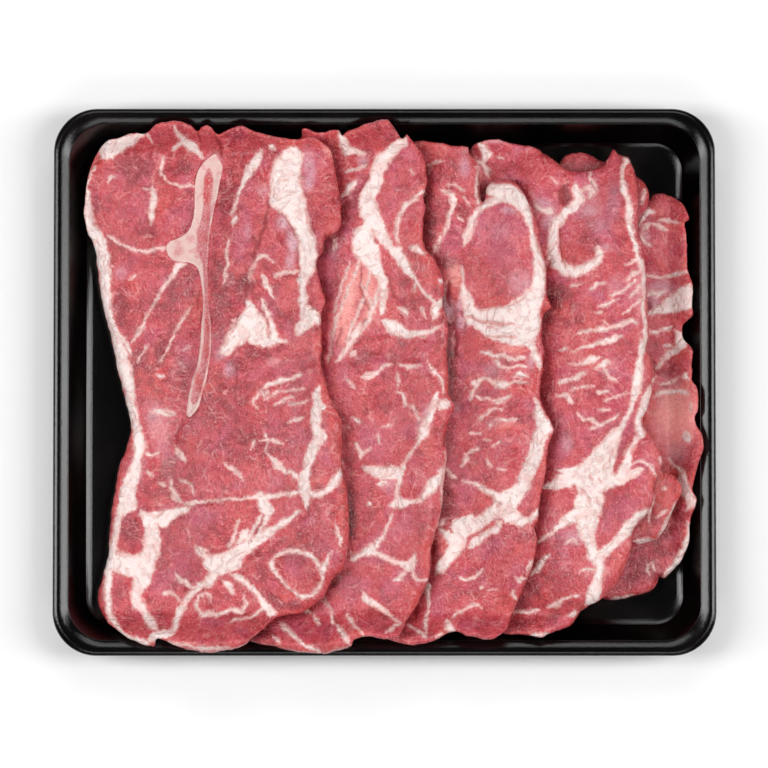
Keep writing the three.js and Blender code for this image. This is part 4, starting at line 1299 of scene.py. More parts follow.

# Muscles that differ from their neighbours, as soft ellipses in pixels: middle x and y, half-widths,
# turn in degrees, then how much paler and how much warmer the muscle is there. Some are painted
# light and shade rather than the meat's own tone: dark strips along the edge of the slice above and a
# dark patch in a fold are painted shade, partly the meat's darker red as well; the pale patch over
# slice 3's oval muscle is a painted sheen; and the very pale patch over slice 6's membrane is partly
# painted light, where that slice lies low in shade.
patches = {
    "slice_1": [
        (210, 380, 150, 320, 0, -0.4, 0.0), (136, 167, 15, 12, 20, -1.0, -0.6),
        (184, 164, 12, 12, 0, -0.8, 0.3), (120, 175, 16, 14, 0, -0.2, -0.4), (158, 205, 8, 22, 0, 0.0, 1.0),
        (125, 212, 18, 18, 0, 0.2, -0.9), (150, 230, 14, 6, 12, -0.9, 0.4),
        (183, 225, 10, 8, 45, -0.8, 0.0), (115, 250, 11, 9, 0, -0.7, 0.8), (120, 272, 8, 13, 0, 0.3, -1.2),
        (120, 303, 9, 20, 0, -1.1, 0.2), (137, 288, 9, 16, 0, 0.3, 1.0), (158, 283, 12, 14, 0, 0.5, -0.7),
        (172, 300, 15, 16, 0, -0.3, -0.3), (163, 348, 8, 22, -30, -0.8, 0.9),
        (195, 305, 8, 14, 0, -0.3, 1.0), (135, 375, 12, 20, 0, -0.4, 0.5),
        (185, 355, 12, 18, 0, -0.2, -0.5), (227, 195, 12, 32, -12, -0.6, -0.3),
        (243, 235, 10, 24, -10, 0.4, -1.2), (250, 180, 8, 26, -30, -0.1, -0.8),
        # the dark patch at (244, 284) is painted shade in a fold
        (267, 175, 6, 20, -20, 0.0, 0.6), (244, 284, 8, 14, -10, -1.6, -0.5),
        (222, 290, 10, 34, 0, -0.6, 0.1), (263, 222, 6, 22, -14, 0.2, 1.2), (310, 168, 7, 18, 8, 0.6, -1.6),
        (320, 165, 9, 16, 0, 0.3, 0.2), (316, 200, 12, 15, 0, 0.2, 0.8), (327, 225, 10, 12, 0, 0.2, 1.2),
        (270, 262, 9, 10, 0, -0.6, 0.2), (288, 300, 12, 26, -5, 0.1, 0.6), (284, 322, 8, 10, 0, -0.4, -1.0),
        (310, 340, 12, 12, 0, 0.1, 1.2), (260, 352, 16, 8, 0, -0.6, 0.6), (235, 365, 9, 12, 0, -0.6, -0.8),
        (288, 362, 18, 8, 0, 0.1, 0.6), (200, 300, 6, 40, 0, 0.2, 0.2), (175, 142, 12, 8, 0, 0.1, 0.3),
        (240, 145, 14, 8, 0, 0.1, 0.5), (290, 145, 14, 8, 0, 0.2, 0.9), (160, 432, 12, 14, 0, 0.9, 0.5),
        (168, 470, 9, 16, 0, -0.9, -0.3), (152, 388, 14, 18, 0, -0.2, 0.3),
        (232, 372, 6, 12, 0, -0.3, -1.2), (343, 500, 4, 60, 0, -0.2, 1.4), (335, 440, 6, 26, 0, -0.1, 1.4),
        (130, 530, 9, 20, 8, -0.8, -0.8), (120, 590, 7, 15, 0, -0.1, -0.8), (104, 592, 3, 26, 0, -0.3, 0.3),
        (185, 560, 16, 18, 0, 0.1, -0.9), (196, 572, 8, 10, 0, -0.3, 0.6), (147, 602, 7, 10, 0, -0.3, 1.0),
        (165, 610, 12, 12, 0, -0.3, 0.2), (218, 592, 9, 9, 0, -0.3, 0.4), (215, 622, 16, 8, 0, -0.5, -0.8),
        (300, 560, 14, 7, 0, -0.5, -0.9), (300, 585, 16, 8, 0, -0.1, 1.0),
        (262, 580, 14, 16, 40, -0.1, -0.6), (275, 600, 12, 12, 30, -0.4, 0.6),
        (290, 606, 12, 7, 0, -0.8, -0.1), (284, 531, 15, 8, -35, 0.1, 0.7),
        (310, 525, 10, 12, 0, 0.2, -0.3), (215, 520, 18, 10, 0, -0.2, -0.8),
        (325, 480, 10, 8, 0, -0.1, 1.0), (255, 440, 26, 26, 0, -0.3, 0.0),
    ],
    "slice_2": [
        (345, 158, 14, 9, 0, 0.1, 0.6), (352, 207, 9, 32, -22, -1.0, -1.0),
        (332, 255, 9, 16, 0, -0.2, -0.9), (335, 285, 9, 16, 0, -0.5, -0.4), (378, 138, 16, 9, 0, 0.1, 0.5),
        (408, 155, 10, 6, -20, 0.6, -0.5), (402, 190, 13, 26, 0, 0.1, 0.1), (413, 222, 8, 18, 0, 0, 0.8),
        (410, 288, 12, 20, 30, -0.6, 0.2), (430, 275, 9, 20, 20, 0.1, 1.2), (393, 312, 6, 10, 20, 0.3, 1.2),
        (430, 325, 7, 7, 0, -0.5, 0.1), (412, 350, 28, 9, 0, -0.2, 0.4), (440, 350, 6, 12, 0, -0.2, 1.2),
        (366, 357, 11, 11, 0, -0.7, -0.7), (345, 376, 11, 12, 0, 0, -0.9), (365, 405, 3, 14, 0, -0.5, 1.0),
        (446, 380, 4, 20, 0, -0.1, 1.2), (385, 435, 26, 20, 0, 0.1, -0.5), (350, 445, 7, 22, 0, -0.7, 0.2),
        # the dark strip at (351, 505) is painted shade along the edge of slice 1
        (351, 505, 5, 40, 0, -1.8, 0.3), (430, 445, 9, 20, -15, -0.1, 0.9), (440, 414, 6, 14, -20, 0, 1.1),
        (413, 488, 13, 12, 0, -0.1, 0.5), (372, 495, 4, 9, -20, -0.2, 1.3), (388, 485, 8, 8, 0, 0.6, -0.3),
        (367, 525, 9, 16, -30, -0.2, 0.4), (400, 525, 16, 14, 0, -0.1, -0.8),
        (348, 592, 10, 18, 0, -0.8, -0.6), (335, 583, 4, 7, -30, -1.8, 0.4),
        (385, 580, 22, 16, 0, 0.1, -0.7), (380, 628, 20, 7, 0, -0.5, 0.1), (376, 612, 5, 3, 0, 0.3, 1.6),
        (325, 628, 18, 12, 20, -0.5, -0.6), (295, 622, 12, 7, 0, -0.7, -0.3),
        (266, 633, 10, 7, -20, -1.6, -0.6), (424, 560, 5, 14, 0, -0.1, 1.1),
        (351, 290, 9, 26, -12, 0.1, 1.6), (345, 325, 10, 22, -10, 0.1, 1.6), (370, 290, 9, 26, 8, 0.1, 1.6),
        (366, 320, 6, 14, -20, 0.1, 1.6),
    ],
    "slice_3": [
        # the pale patch at (500, 240) over the oval muscle is a painted sheen of its wet surface
        (500, 240, 26, 34, 0, 0.5, -0.7), (436, 150, 10, 8, 0, 0.3, 0.8), (448, 169, 14, 12, 0, -0.3, 0.3),
        # the dark patch at (428, 215) is painted shade beside the edge of slice 2
        (465, 165, 7, 18, 0, 0.5, -0.7), (430, 176, 6, 13, 0, -0.9, -0.8), (428, 215, 7, 34, 0, -1.6, 0.0),
        (440, 215, 8, 30, -20, -1.0, -0.8), (455, 204, 7, 11, 0, -0.4, 0.2), (463, 213, 7, 9, 0, -0.8, 0.3),
        (452, 240, 10, 20, -20, -0.6, -0.9), (448, 263, 12, 9, 0, -1.3, -0.2),
        (496, 226, 18, 24, 0, 0.2, -1.3), (467, 255, 7, 24, 0, -0.6, 0.1), (502, 286, 28, 15, 0, -0.2, 0.0),
        (520, 285, 12, 13, 0, 0.5, -0.5), (492, 303, 22, 5, 0, 0.1, 1.5), (540, 225, 7, 20, 0, -0.3, -0.4),
        (478, 192, 7, 9, 0, -0.2, 0.6), (506, 184, 14, 4, 0, 0.0, 0.9), (453, 278, 9, 18, 0, 0.0, 1.7),
        (447, 297, 4, 9, 0, -1.2, -1.8), (452, 316, 9, 10, 0, -1.0, -1.4), (452, 345, 7, 16, 0, -1.4, 0.3),
        (452, 370, 6, 18, 0, -1.4, 0.1), (457, 395, 8, 14, 0, -0.9, 0.3), (484, 343, 22, 7, -10, 0.0, 0.8),
        (511, 350, 17, 5, -8, 0.6, 1.7), (475, 370, 14, 11, 0, -0.2, -0.7), (505, 364, 6, 5, 0, -0.6, -0.9),
        (530, 363, 7, 9, 0, 0.2, -1.1), (488, 393, 15, 7, 0, 0.0, -0.7), (520, 393, 18, 7, 0, 0.0, 0.9),
        (465, 410, 6, 11, 0, -0.4, -0.4), (475, 404, 5, 5, 0, 0.0, 1.4), (522, 421, 8, 6, 0, -0.9, -1.0),
        (510, 430, 16, 7, 0, 0.4, 1.5), (478, 452, 26, 30, 0, -0.3, -0.4), (452, 442, 8, 26, 0, -0.7, -0.2),
        (520, 442, 7, 28, -10, 0.0, 0.7), (465, 500, 20, 15, 0, -0.2, -0.4),
        (447, 500, 6, 22, 0, -0.9, 0.1), (484, 498, 7, 11, 0, 0.3, 1.4), (525, 488, 11, 18, -20, 0.1, -0.6),
        (537, 490, 5, 25, 0, -0.1, 1.1), (541, 455, 4, 14, 0, -0.1, 1.3), (524, 512, 12, 6, 0, -0.2, 0.5),
        (485, 528, 17, 4, 18, 0.1, 1.5), (500, 545, 20, 11, 25, -0.1, -0.8),
        (522, 545, 12, 18, 0, -0.1, 0.7), (468, 590, 19, 13, 0, -0.6, 0.2),
        (502, 600, 16, 18, 0, -0.2, 0.4), (475, 622, 20, 9, 0, -0.5, -0.3),
        (438, 610, 8, 18, 0, -0.2, -0.7), (436, 550, 5, 13, 0, -1.0, 0.8), (447, 540, 5, 6, 0, 0.3, 1.6),
        (416, 610, 5, 10, 0, -1.5, 0.1), (408, 633, 6, 6, 0, -1.0, 0.5), (426, 635, 8, 5, 0, -0.6, -0.2),
    ],
    "slice_4": [
        (592, 200, 20, 22, 0, 0.5, -0.3), (585, 178, 13, 9, 0, 0.2, -1.5), (603, 180, 6, 13, 0, 0.0, 0.2),
        (611, 164, 9, 8, 0, 0.2, 0.1), (629, 178, 5, 18, 0, 0.1, 1.0), (612, 206, 9, 20, -20, -0.5, -1.2),
        (590, 226, 20, 20, 0, -0.2, -0.6), (573, 244, 12, 16, 0, 0.1, -0.1), (577, 258, 15, 6, 0, 0.2, 0.6),
        (563, 250, 3, 14, 0, 0.4, 1.5), (620, 226, 6, 10, 0, 0.0, 1.0), (628, 248, 6, 13, 0, -0.1, 0.8),
        # the dark patches at (556, 292), (548, 324) and (548, 400) are painted shade along the edge of slice
        # 3, partly the meat's darker red
        (556, 292, 16, 13, 0, -1.6, -0.7), (548, 324, 6, 28, 0, -0.8, 0.4), (548, 400, 6, 38, 0, -0.8, 0.3),
        (585, 285, 10, 5, 0, 0.1, 1.6), (600, 300, 36, 12, 20, 0.1, 0.0), (580, 320, 26, 10, 0, -0.2, 0.3),
        (622, 372, 13, 15, 0, 0.2, -0.8), (595, 368, 11, 4, 0, 0.5, 1.6), (580, 398, 26, 12, 0, 0.0, 0.1),
        (615, 402, 13, 18, 0, 0.3, 0.1), (571, 430, 20, 18, 0, -0.5, -0.6),
        (556, 448, 8, 22, 0, -0.6, -0.4), (573, 463, 7, 6, 0, 0.0, 0.8), (548, 470, 6, 13, 0, 0.0, 0.9),
        (557, 503, 12, 12, 0, 0.3, 0.0), (548, 525, 9, 8, 0, -0.3, -0.6),
        (618, 512, 22, 24, -25, -0.4, -0.8), (600, 545, 10, 7, 0, 0.0, 0.6), (598, 510, 4, 26, 0, 0.3, 1.2),
        (614, 562, 9, 16, -30, 0.0, 1.0), (565, 552, 16, 18, 0, -0.4, -0.5),
        (560, 580, 24, 10, 0, -0.5, 0.0), (545, 596, 18, 7, 0, -0.1, 0.7), (570, 604, 11, 4, 0, -0.6, 0.0),
        (535, 590, 7, 9, 0, -1.0, 0.0), (520, 604, 6, 9, 0, -1.0, 0.2), (522, 622, 10, 7, 0, -1.4, -0.2),
        (545, 620, 13, 7, 0, -0.7, 0.0), (649, 368, 4, 14, 0, 0.3, 0.5), (640, 450, 12, 11, 0, -0.2, -0.3),
        (653, 455, 5, 12, 0, 0.2, 1.4), (645, 471, 8, 3, 0, -0.8, 0.0), (614, 468, 7, 8, -40, -0.3, -0.7),
        (623, 438, 7, 26, -15, -0.1, -0.8), (643, 495, 7, 16, 0, -0.2, 0.0), (650, 482, 4, 12, 0, 0.0, 1.5),
        (512, 143, 34, 6, -8, 0.5, -0.9), (532, 165, 26, 12, -15, 0.4, 0.2),
        (505, 166, 12, 8, 0, -0.2, 0.6), (540, 192, 14, 10, -30, 0.2, -0.2), (476, 152, 5, 6, 0, -0.4, 1.4),
        (478, 172, 6, 8, 0, 0.4, 1.0), (536, 222, 7, 18, 0, -0.2, -0.8), (548, 232, 5, 12, 0, -0.7, -0.8),
        (566, 196, 6, 12, 0, -1.8, 0.5), (547, 262, 4, 12, 10, -0.8, 2.0), (555, 265, 3, 8, 0, 0.1, 1.8),
    ],
    "slice_5": [
        (582, 160, 17, 7, 0, -0.6, 0.2), (638, 198, 7, 18, 0, -0.4, 0.6), (662, 494, 11, 9, 0, 0.1, 1.4),
        (666, 506, 9, 7, 0, -0.2, 0.4), (655, 516, 12, 12, 0, -0.2, 0.6), (640, 528, 9, 7, 0, 0.1, 1.4),
        (657, 478, 8, 6, 0, 0.1, 1.6),
    ],
    "slice_6": [
        (668, 205, 14, 9, 0, 0.7, 0.9), (674, 226, 10, 5, 0, 0.4, 0.4), (668, 245, 17, 16, 0, 1.0, 0.0),
        (650, 260, 5, 14, 0, -0.9, 0.0), (670, 262, 15, 5, 0, -0.1, 0.7), (665, 281, 15, 5, 0, -0.4, -0.9),
        (654, 300, 7, 9, 0, -0.9, -1.5), (668, 319, 17, 5, 0, 0.2, 1.0), (660, 345, 9, 12, 0, -0.4, -0.1),
        (653, 362, 4, 13, 0, -0.9, 0.2), (681, 356, 9, 7, 0, 0.1, 1.3), (670, 372, 13, 9, 25, -0.8, 0.3),
        # the very pale patch at (677, 415) is partly painted light, where this slice lies low in shade
        (688, 386, 6, 6, 0, 0.1, 1.5), (650, 402, 7, 20, 0, 0.0, 1.7), (677, 415, 18, 28, 0, 3.6, 1.5),
        (660, 428, 9, 18, 0, 1.6, 1.2), (694, 430, 6, 13, 0, 0.4, 0.5), (675, 455, 13, 12, 0, 0.2, 0.2),
        (669, 472, 8, 6, 0, 0.5, 1.2), (642, 425, 5, 12, 0, 0.0, 1.8), (668, 485, 9, 5, 0, 0.0, 1.2),
        (681, 516, 12, 13, 0, -0.6, -0.5), (665, 545, 13, 18, 0, -0.8, -0.4),
        (636, 572, 22, 16, 30, -1.3, -0.2), (685, 536, 4, 18, 0, 0.1, 1.2), (655, 572, 8, 14, 0, -0.4, -0.4),
    ],
}

# Silver skin and thin connective tissue over the lean, as the same soft ellipses, and how dense it is. A few
# stand for light: the pale cover on top of slice 3's oval muscle is a painted highlight, and slice 6's dense
# membrane is partly painted light.
veilsAndSheen = {
    "slice_1": [
        (284, 222, 7, 9, -20, 0.8), (293, 243, 6, 12, 10, 0.9), (290, 262, 5, 9, 0, 0.7),
        (263, 190, 6, 7, -20, 0.5), (308, 186, 5, 7, 0, 0.6), (120, 272, 6, 7, 0, 0.35),
        (229, 370, 6, 8, 0, 0.5), (223, 352, 5, 10, -35, 0.6), (275, 362, 8, 5, 0, 0.45),
        (330, 152, 8, 4, -40, 0.8), (309, 166, 6, 16, 8, 0.6), (248, 232, 4, 8, 0, 0.35),
        (214, 158, 8, 8, 0, 0.5), (157, 424, 11, 24, 14, 0.55), (140, 468, 5, 14, 0, 0.3),
    ],
    "slice_2": [
        (351, 290, 9, 26, -12, 0.8), (345, 325, 10, 22, -10, 0.75), (370, 290, 9, 26, 8, 0.75),
        (366, 320, 6, 14, -20, 0.5), (362, 160, 6, 6, 0, 0.7), (350, 296, 4, 6, 0, 0.6),
        (388, 485, 8, 8, 0, 0.4), (334, 250, 5, 10, 0, 0.35), (425, 415, 3, 16, -35, 0.6),
    ],
    "slice_3": [
        (455, 276, 7, 14, 5, 0.9), (462, 300, 5, 12, -15, 0.8), (449, 310, 5, 10, 0, 0.55),
        # the pale cover at (508, 212) is a painted highlight on the wet top of the oval muscle
        (462, 322, 5, 8, 0, 0.7), (508, 212, 8, 4, -10, 0.6), (500, 232, 9, 10, 0, 0.2),
        (520, 285, 12, 14, 0, 0.45), (492, 372, 10, 8, 0, 0.4), (530, 363, 5, 8, 0, 0.45),
        (500, 425, 16, 5, 0, 0.4), (512, 351, 14, 5, -8, 0.45), (498, 516, 7, 4, 0, 0.8),
        (455, 408, 6, 6, 0, 0.3), (465, 166, 5, 12, 0, 0.5), (470, 150, 8, 4, -20, 0.4),
    ],
    "slice_4": [
        (588, 206, 13, 18, 0, 0.3), (612, 200, 7, 20, 0, 0.25), (497, 139, 14, 3, 0, 0.5),
        (545, 207, 12, 8, -20, 0.7), (548, 222, 7, 8, -30, 0.5), (590, 212, 7, 5, 0, 0.35),
        (598, 228, 10, 8, 0, 0.3), (615, 285, 12, 8, 30, 0.25), (640, 295, 5, 20, 0, 0.5),
        (604, 250, 7, 4, 20, 0.4), (566, 445, 6, 10, 0, 0.4), (572, 538, 10, 8, 0, 0.45),
        (604, 372, 10, 4, 0, 0.4), (613, 452, 4, 10, -20, 0.4), (478, 170, 6, 9, 0, 0.5),
        (590, 190, 6, 4, 0, 0.5), (554, 240, 3, 30, 8, 0.4),
    ],
    "slice_5": [],
    "slice_6": [
        # the dense membrane at (676, 414) is partly painted light, where this slice lies low in shade
        (662, 288, 14, 8, 0, 0.6), (655, 300, 6, 8, 0, 0.5), (676, 414, 19, 31, 0, 1.05),
        (678, 452, 9, 12, 0, 0.6), (645, 235, 6, 8, -20, 0.6),
    ],
}

# Creases where one muscle sinks beside another, as chains of (x, y, width) in pixels: each is a dip in the
# surface with painted shade, a dark colour, laid along it.
creases = {
    "slice_1": [
        [(270, 198, 2), (267, 212, 2.5), (264, 228, 3.5), (257, 246, 3), (252, 266, 3), (247, 288, 4),
         (244, 306, 2)],
        [(240, 312, 2), (232, 326, 2), (223, 342, 1)],
        [(201, 160, 1.5), (196, 169, 1.5), (193, 178, 0.8)],
        [(192, 208, 0.8), (190, 222, 1.6), (183, 233, 1.6), (171, 238, 1)],
        [(197, 295, 1.5), (198, 308, 1.5)],
        [(201, 310, 1), (200, 324, 1)],
        [(279, 181, 0.8), (284, 180, 0.8), (288, 181, 0.5)],
        [(274, 187, 0.6), (273, 197, 0.6)],
        [(268, 322, 1.6), (267, 332, 1.8), (268, 339, 0.8)],
        [(257, 334, 0.6), (264, 328, 0.8)],
        [(301, 371, 1), (308, 367, 0.8), (315, 364, 0.8)],
        [(322, 355, 1.5), (324, 372, 1.5)],
        [(299, 277, 1), (290, 274, 1.6), (283, 278, 1)],
        [(215, 133, 2), (219, 146, 3), (222, 155, 1)],
        [(198, 131, 2), (201, 140, 2)],
        [(240, 128, 1.5), (242, 137, 1)],
        [(297, 262, 0.6), (298, 240, 0.6), (290, 222, 0.8), (283, 214, 0.8)],
        [(305, 208, 1), (309, 228, 1.4), (313, 243, 1)],
        [(305, 300, 1), (311, 308, 1.6), (319, 312, 1)],
        [(236, 368, 1.5), (238, 384, 2.2), (234, 400, 1.5)],
        [(187, 418, 1), (179, 427, 1.4), (175, 440, 0.8)],
        [(184, 506, 1), (192, 507, 1.6), (198, 505, 1)],
        [(222, 499, 0.8), (210, 502, 1), (200, 507, 0.8)],
        [(155, 518, 1), (163, 512, 0.8)],
        [(184, 591, 1.2), (193, 589, 1)],
        [(251, 543, 1.2), (255, 535, 2), (260, 526, 2), (262, 517, 0.8)],
        [(310, 506, 1.2), (307, 515, 1.6), (302, 521, 0.8)],
        [(275, 575, 0.6), (283, 585, 0.6), (292, 593, 0.6)],
        [(262, 549, 0.8), (255, 555, 1), (247, 561, 0.6)],
        [(198, 402, 1.5), (196, 409, 1.5)],
        [(297, 489, 1.5), (300, 491, 1)],
    ],
    "slice_2": [
        [(334, 324, 1), (331, 344, 2), (328, 362, 1.6)],
        [(322, 348, 1.2), (321, 362, 1)],
        [(341, 328, 0.8), (337, 346, 0.8)],
        [(366, 320, 2), (362, 329, 1), (358, 340, 0.8)],
        [(360, 268, 0.8), (362, 292, 1.2), (370, 311, 0.6)],
        [(387, 273, 0.8), (390, 286, 1.6), (395, 298, 1.2), (407, 308, 0.8)],
        [(350, 361, 0.8), (357, 369, 1), (363, 373, 0.6)],
        [(354, 346, 0.6), (363, 338, 1), (373, 338, 0.8), (389, 335, 0.6)],
        [(399, 362, 1), (422, 363, 0.8)],
        [(343, 462, 1.2), (352, 468, 1.4), (363, 470, 0.8)],
        [(384, 467, 0.8), (390, 466, 0.8)],
        [(401, 512, 0.6), (394, 508, 0.8)],
        [(371, 610, 0.8), (381, 614, 1.4), (391, 617, 0.8)],
        [(324, 597, 0.8), (331, 609, 0.8), (338, 623, 1), (345, 634, 0.8)],
        [(371, 230, 1), (376, 243, 0.6)],
        [(369, 175, 1), (360, 190, 1)],
        [(378, 128, 1), (381, 131, 1)],
    ],
    "slice_3": [
        [(466, 317, 3), (480, 322, 4), (496, 325, 4.5), (513, 326, 3)],
        [(507, 309, 2), (520, 303, 2), (530, 292, 1.5)],
        [(488, 336, 1.5), (502, 339, 2), (516, 338, 1.5)],
        [(479, 163, 1), (480, 178, 2), (480, 186, 2), (483, 196, 1.5)],
        [(424, 170, 2), (428, 165, 1.2), (438, 161, 0.6)],
        [(470, 208, 0.8), (467, 217, 1.2), (466, 223, 1)],
        [(432, 256, 1.2), (437, 264, 1.5), (441, 273, 1.2)],
        [(466, 242, 1), (470, 234, 0.8)],
        [(448, 282, 1.5), (446, 296, 2.5), (450, 306, 2)],
        [(456, 334, 2), (454, 350, 2), (456, 357, 1)],
        [(510, 386, 0.8), (520, 385, 1.2), (529, 383, 0.6)],
        [(486, 328, 1.5), (492, 328, 2), (497, 330, 1)],
        [(545, 436, 1.2), (541, 439, 1.5), (540, 444, 1)],
        [(499, 505, 1.5), (497, 508, 1)],
        [(433, 540, 2.5), (432, 552, 3), (432, 564, 2)],
        [(430, 572, 1), (436, 573, 0.8)],
        [(419, 600, 1.5), (417, 610, 3), (414, 616, 2)],
        [(532, 528, 2), (535, 540, 1.5)],
        [(462, 313, 0.8), (466, 322, 1), (464, 328, 0.8)],
    ],
    "slice_4": [
        [(588, 476, 2.5), (592, 481, 2)],
        [(580, 491, 2), (583, 495, 1.5)],
        [(596, 499, 2), (597, 506, 1.5)],
        [(601, 470, 1.5), (607, 462, 1.5), (611, 452, 1)],
        [(477, 150, 1), (480, 158, 1.5)],
        [(487, 160, 1), (490, 172, 1.2), (494, 176, 0.8)],
        [(505, 178, 0.8), (516, 181, 1.5), (523, 190, 2), (528, 200, 2.5), (535, 209, 1.5)],
        [(563, 184, 5), (563, 196, 9), (565, 205, 4)],
        [(551, 258, 2), (548, 268, 3), (545, 275, 1.5)],
        [(560, 226, 0.8), (560, 240, 0.8), (562, 256, 0.8), (566, 268, 1.2)],
        [(647, 352, 1.5), (651, 362, 2), (655, 372, 1.5)],
        [(635, 432, 1.5), (636, 440, 1.5)],
        [(598, 478, 1), (600, 485, 1.5)],
        [(580, 490, 1.5), (580, 496, 2)],
        [(573, 488, 0.8), (578, 489, 0.8)],
        [(588, 500, 1), (589, 504, 1)],
        [(595, 566, 1.2), (594, 570, 1.2)],
        [(652, 482, 1.5), (653, 495, 1.5), (654, 505, 1)],
        [(630, 533, 3), (633, 540, 2)],
        [(528, 565, 3), (532, 562, 2), (534, 560, 1)],
    ],
    "slice_5": [
        [(676, 478, 1.5), (674, 483, 1)],
        [(653, 500, 1.2), (652, 512, 1)],
    ],
    "slice_6": [
        [(640, 214, 2), (637, 224, 2.5), (638, 236, 1.5)],
        [(648, 300, 2), (650, 310, 1.5)],
        [(654, 360, 1.5), (656, 372, 2)],
        [(660, 386, 1.5), (668, 386, 1)],
        [(640, 408, 1.5), (643, 420, 1)],
    ],
}


def softEllipses(spots, x, y, column=5):
    # the sum of the spots, each its amount times a bell of the distance from its middle in half-widths
    total = np.zeros(x.shape)
    for spot in spots:
        cx, cy, across, along, turn = spot[:5]
        middle = toBed([(cx, cy)])[0]
        c, s = math.cos(math.radians(turn)), math.sin(math.radians(turn))
        px = ((x - middle[0]) * c + (y - middle[1]) * s) / (across * pixelSize)
        py = ((y - middle[1]) * c - (x - middle[0]) * s) / (along * pixelSize)
        total += spot[column] * np.exp(-(px * px + py * py) ** surface["patchFalloff"])
    return total


def contactShade(index, x, y):
    # painted shade, darker beside the slice above: a bell of the distance to its edge, wider and narrower by
    # a slow ripple
    if index == 0:
        return np.zeros(x.shape)
    gap = np.maximum(-distanceInside(fineRings[names[index - 1]], x, y), 0)
    wander = surface["shadeWander"] * ripple(x, y, surface["shadeSize"], seeds["shade"] + index)
    reach = surface["shadeReach"] * (1 + wander)
    return -surface["shadeDepth"] * np.exp(-((gap / reach) ** 2))


def sidesOf(outline, seed):
    sides = {}
    for number, (side, points) in enumerate(outline.items()):
        curve = curveThrough(toBed(points), samples["side"])
        sides[side] = frayed(curve, seed + seeds["sideStep"] * number)
    return sides


names = list(outlines)
fineSides = {}
for number, name in enumerate(names):
    fineSides[name] = sidesOf(outlines[name], seeds["edge"] + seeds["edgeStep"] * number)
fineRings = {name: closedOutline(fineSides[name], samples["ring"]) for name in names}
boneCurves = {side: curveThrough(toBed(p), samples["boneSide"]) for side, p in boneSides.items()}
boneRing = closedOutline(boneCurves, samples["boneRing"])


def topHeight(index, x, y, full, fat, shadedCrease):
    # the muscles' swelling, finer swells, fat a little proud of the lean with a groove along it, and creases
    height = muscleRelief(x, y, index)
    for number, (size, amount) in enumerate(surface["swells"]):
        seed = seeds["swell"] + seeds["swellStep"] * index + seeds["swellLayer"] * number
        height = height + amount * ripple(x, y, size, seed)
    height = height + surface["fatRise"] * smoothStep((fat + surface["fatFoot"]) / surface["fatSlope"])
    groove = (fat + surface["groovePlace"]) / surface["grooveWidth"]
    height = height - surface["grooveDepth"] * np.exp(-(groove**2))
    depth = smoothStep((shadedCrease + surface["creaseFoot"]) / surface["creaseSlope"])
    height = height - surface["creaseDepth"] * depth
    return (height - surface["settle"]) * full


def underCeiling(top):
    # the room below the ceiling, eased so that it never falls below zero: half of it, plus half of the square
    # root of its square and the bend's square together
    ceiling = cadBox[1][2] / mm
    room = ceiling - top
    return ceiling - 0.5 * (room + np.sqrt(room**2 + surface["ceilingBend"] ** 2))


def makeSlice(name):
    # a grid blended from the four sides; its top and its underside meet on the outline at half thickness
    index = names.index(name)
    lines = gridLines[name]
    u, v = linesAcross(lines), np.linspace(0, 1, lines["along"] + 1)
    grid = blendSides(fineSides[name], u, v)
    rows, columns = grid.shape[:2]
    x, y = grid[..., 0].ravel(), grid[..., 1].ravel()
    beneath = [fineRings[other] for other in names[index + 1:]]
    inside = np.maximum(distanceInside(fineRings[name], x, y), surface["leastInside"])
    full = edgeFullness(inside)
    full[rimOf(rows, columns).ravel()] = 0
    warpX, warpY = 0, 0
    for number, (size, amount) in enumerate(surface["warp"]):
        warpX = warpX + amount * ripple(x, y, size, seeds["warpAcross"] + number)
        warpY = warpY + amount * ripple(x, y, size, seeds["warpAlong"] + number)
    fat = seamDepth(seams[name], x + warpX, y + warpY)
    middle = undersideHeight(beneath, x, y) + slab["thickness"] / 2
    half = slab["thickness"] / 2 * full
    shadedCrease = seamDepth(creases[name], x + warpX, y + warpY)
    top = underCeiling(middle + half + topHeight(index, x, y, full, fat, shadedCrease))
    if name == "slice_1":
        inBone = distanceInside(boneRing, x, y)
        slot = smoothStep((inBone - surface["boneGap"]) / surface["slotSlope"])
        top = top - surface["boneSlot"] * slot
    low = middle - half
    inner = (slice(undersideStep, -1, undersideStep),) * 2
    underside = np.column_stack([g.reshape(rows, columns)[inner].ravel() for g in (x, y, low)])
    points = np.vstack([np.column_stack([x, y, top]), underside])
    lower, extra = undersideFaces(rows, columns, rows * columns)
    faces = gridFaces(rows, columns).tolist() + lower
    pad = np.zeros(extra)
    edgeWarmth = surface["edgeWarmth"] * np.exp(-((inside / surface["edgeReach"]) ** 2))
    fields = {
        "fat": np.concatenate([fat, fat.reshape(rows, columns)[inner].ravel()]),
        "shadedCrease": np.concatenate([shadedCrease, pad - surface["farOff"]]),
        "toneWithShade": np.concatenate([softEllipses(patches[name], x, y, 5) + contactShade(index, x, y), pad]),
        "warmth": np.concatenate([softEllipses(patches[name], x, y, 6) + edgeWarmth, pad]),
        "veilAndSheen": np.concatenate([softEllipses(veilsAndSheen[name], x, y), pad]),
    }
    return makeMesh("pork_" + name, points, faces, fields)


for name in names:
    dress(makeSlice(name), name, meatMaterial)
    print(name, "made")


# Blade bone

bone = {
    "across": 28,
    "along": 240,
    "edgeRounding": 0.7,
    "edgeDrop": 0.3,
    "rimRise": 0.12,
    "dish": 0.3,  # how far its middle sinks, from dishStart inside its edge over dishSlope
    "dishStart": 1.0,
    "dishSlope": 1.2,
    "grainHeight": 0.06,
    "grainSize": 1.1,
    "channelTaper": 2,
}

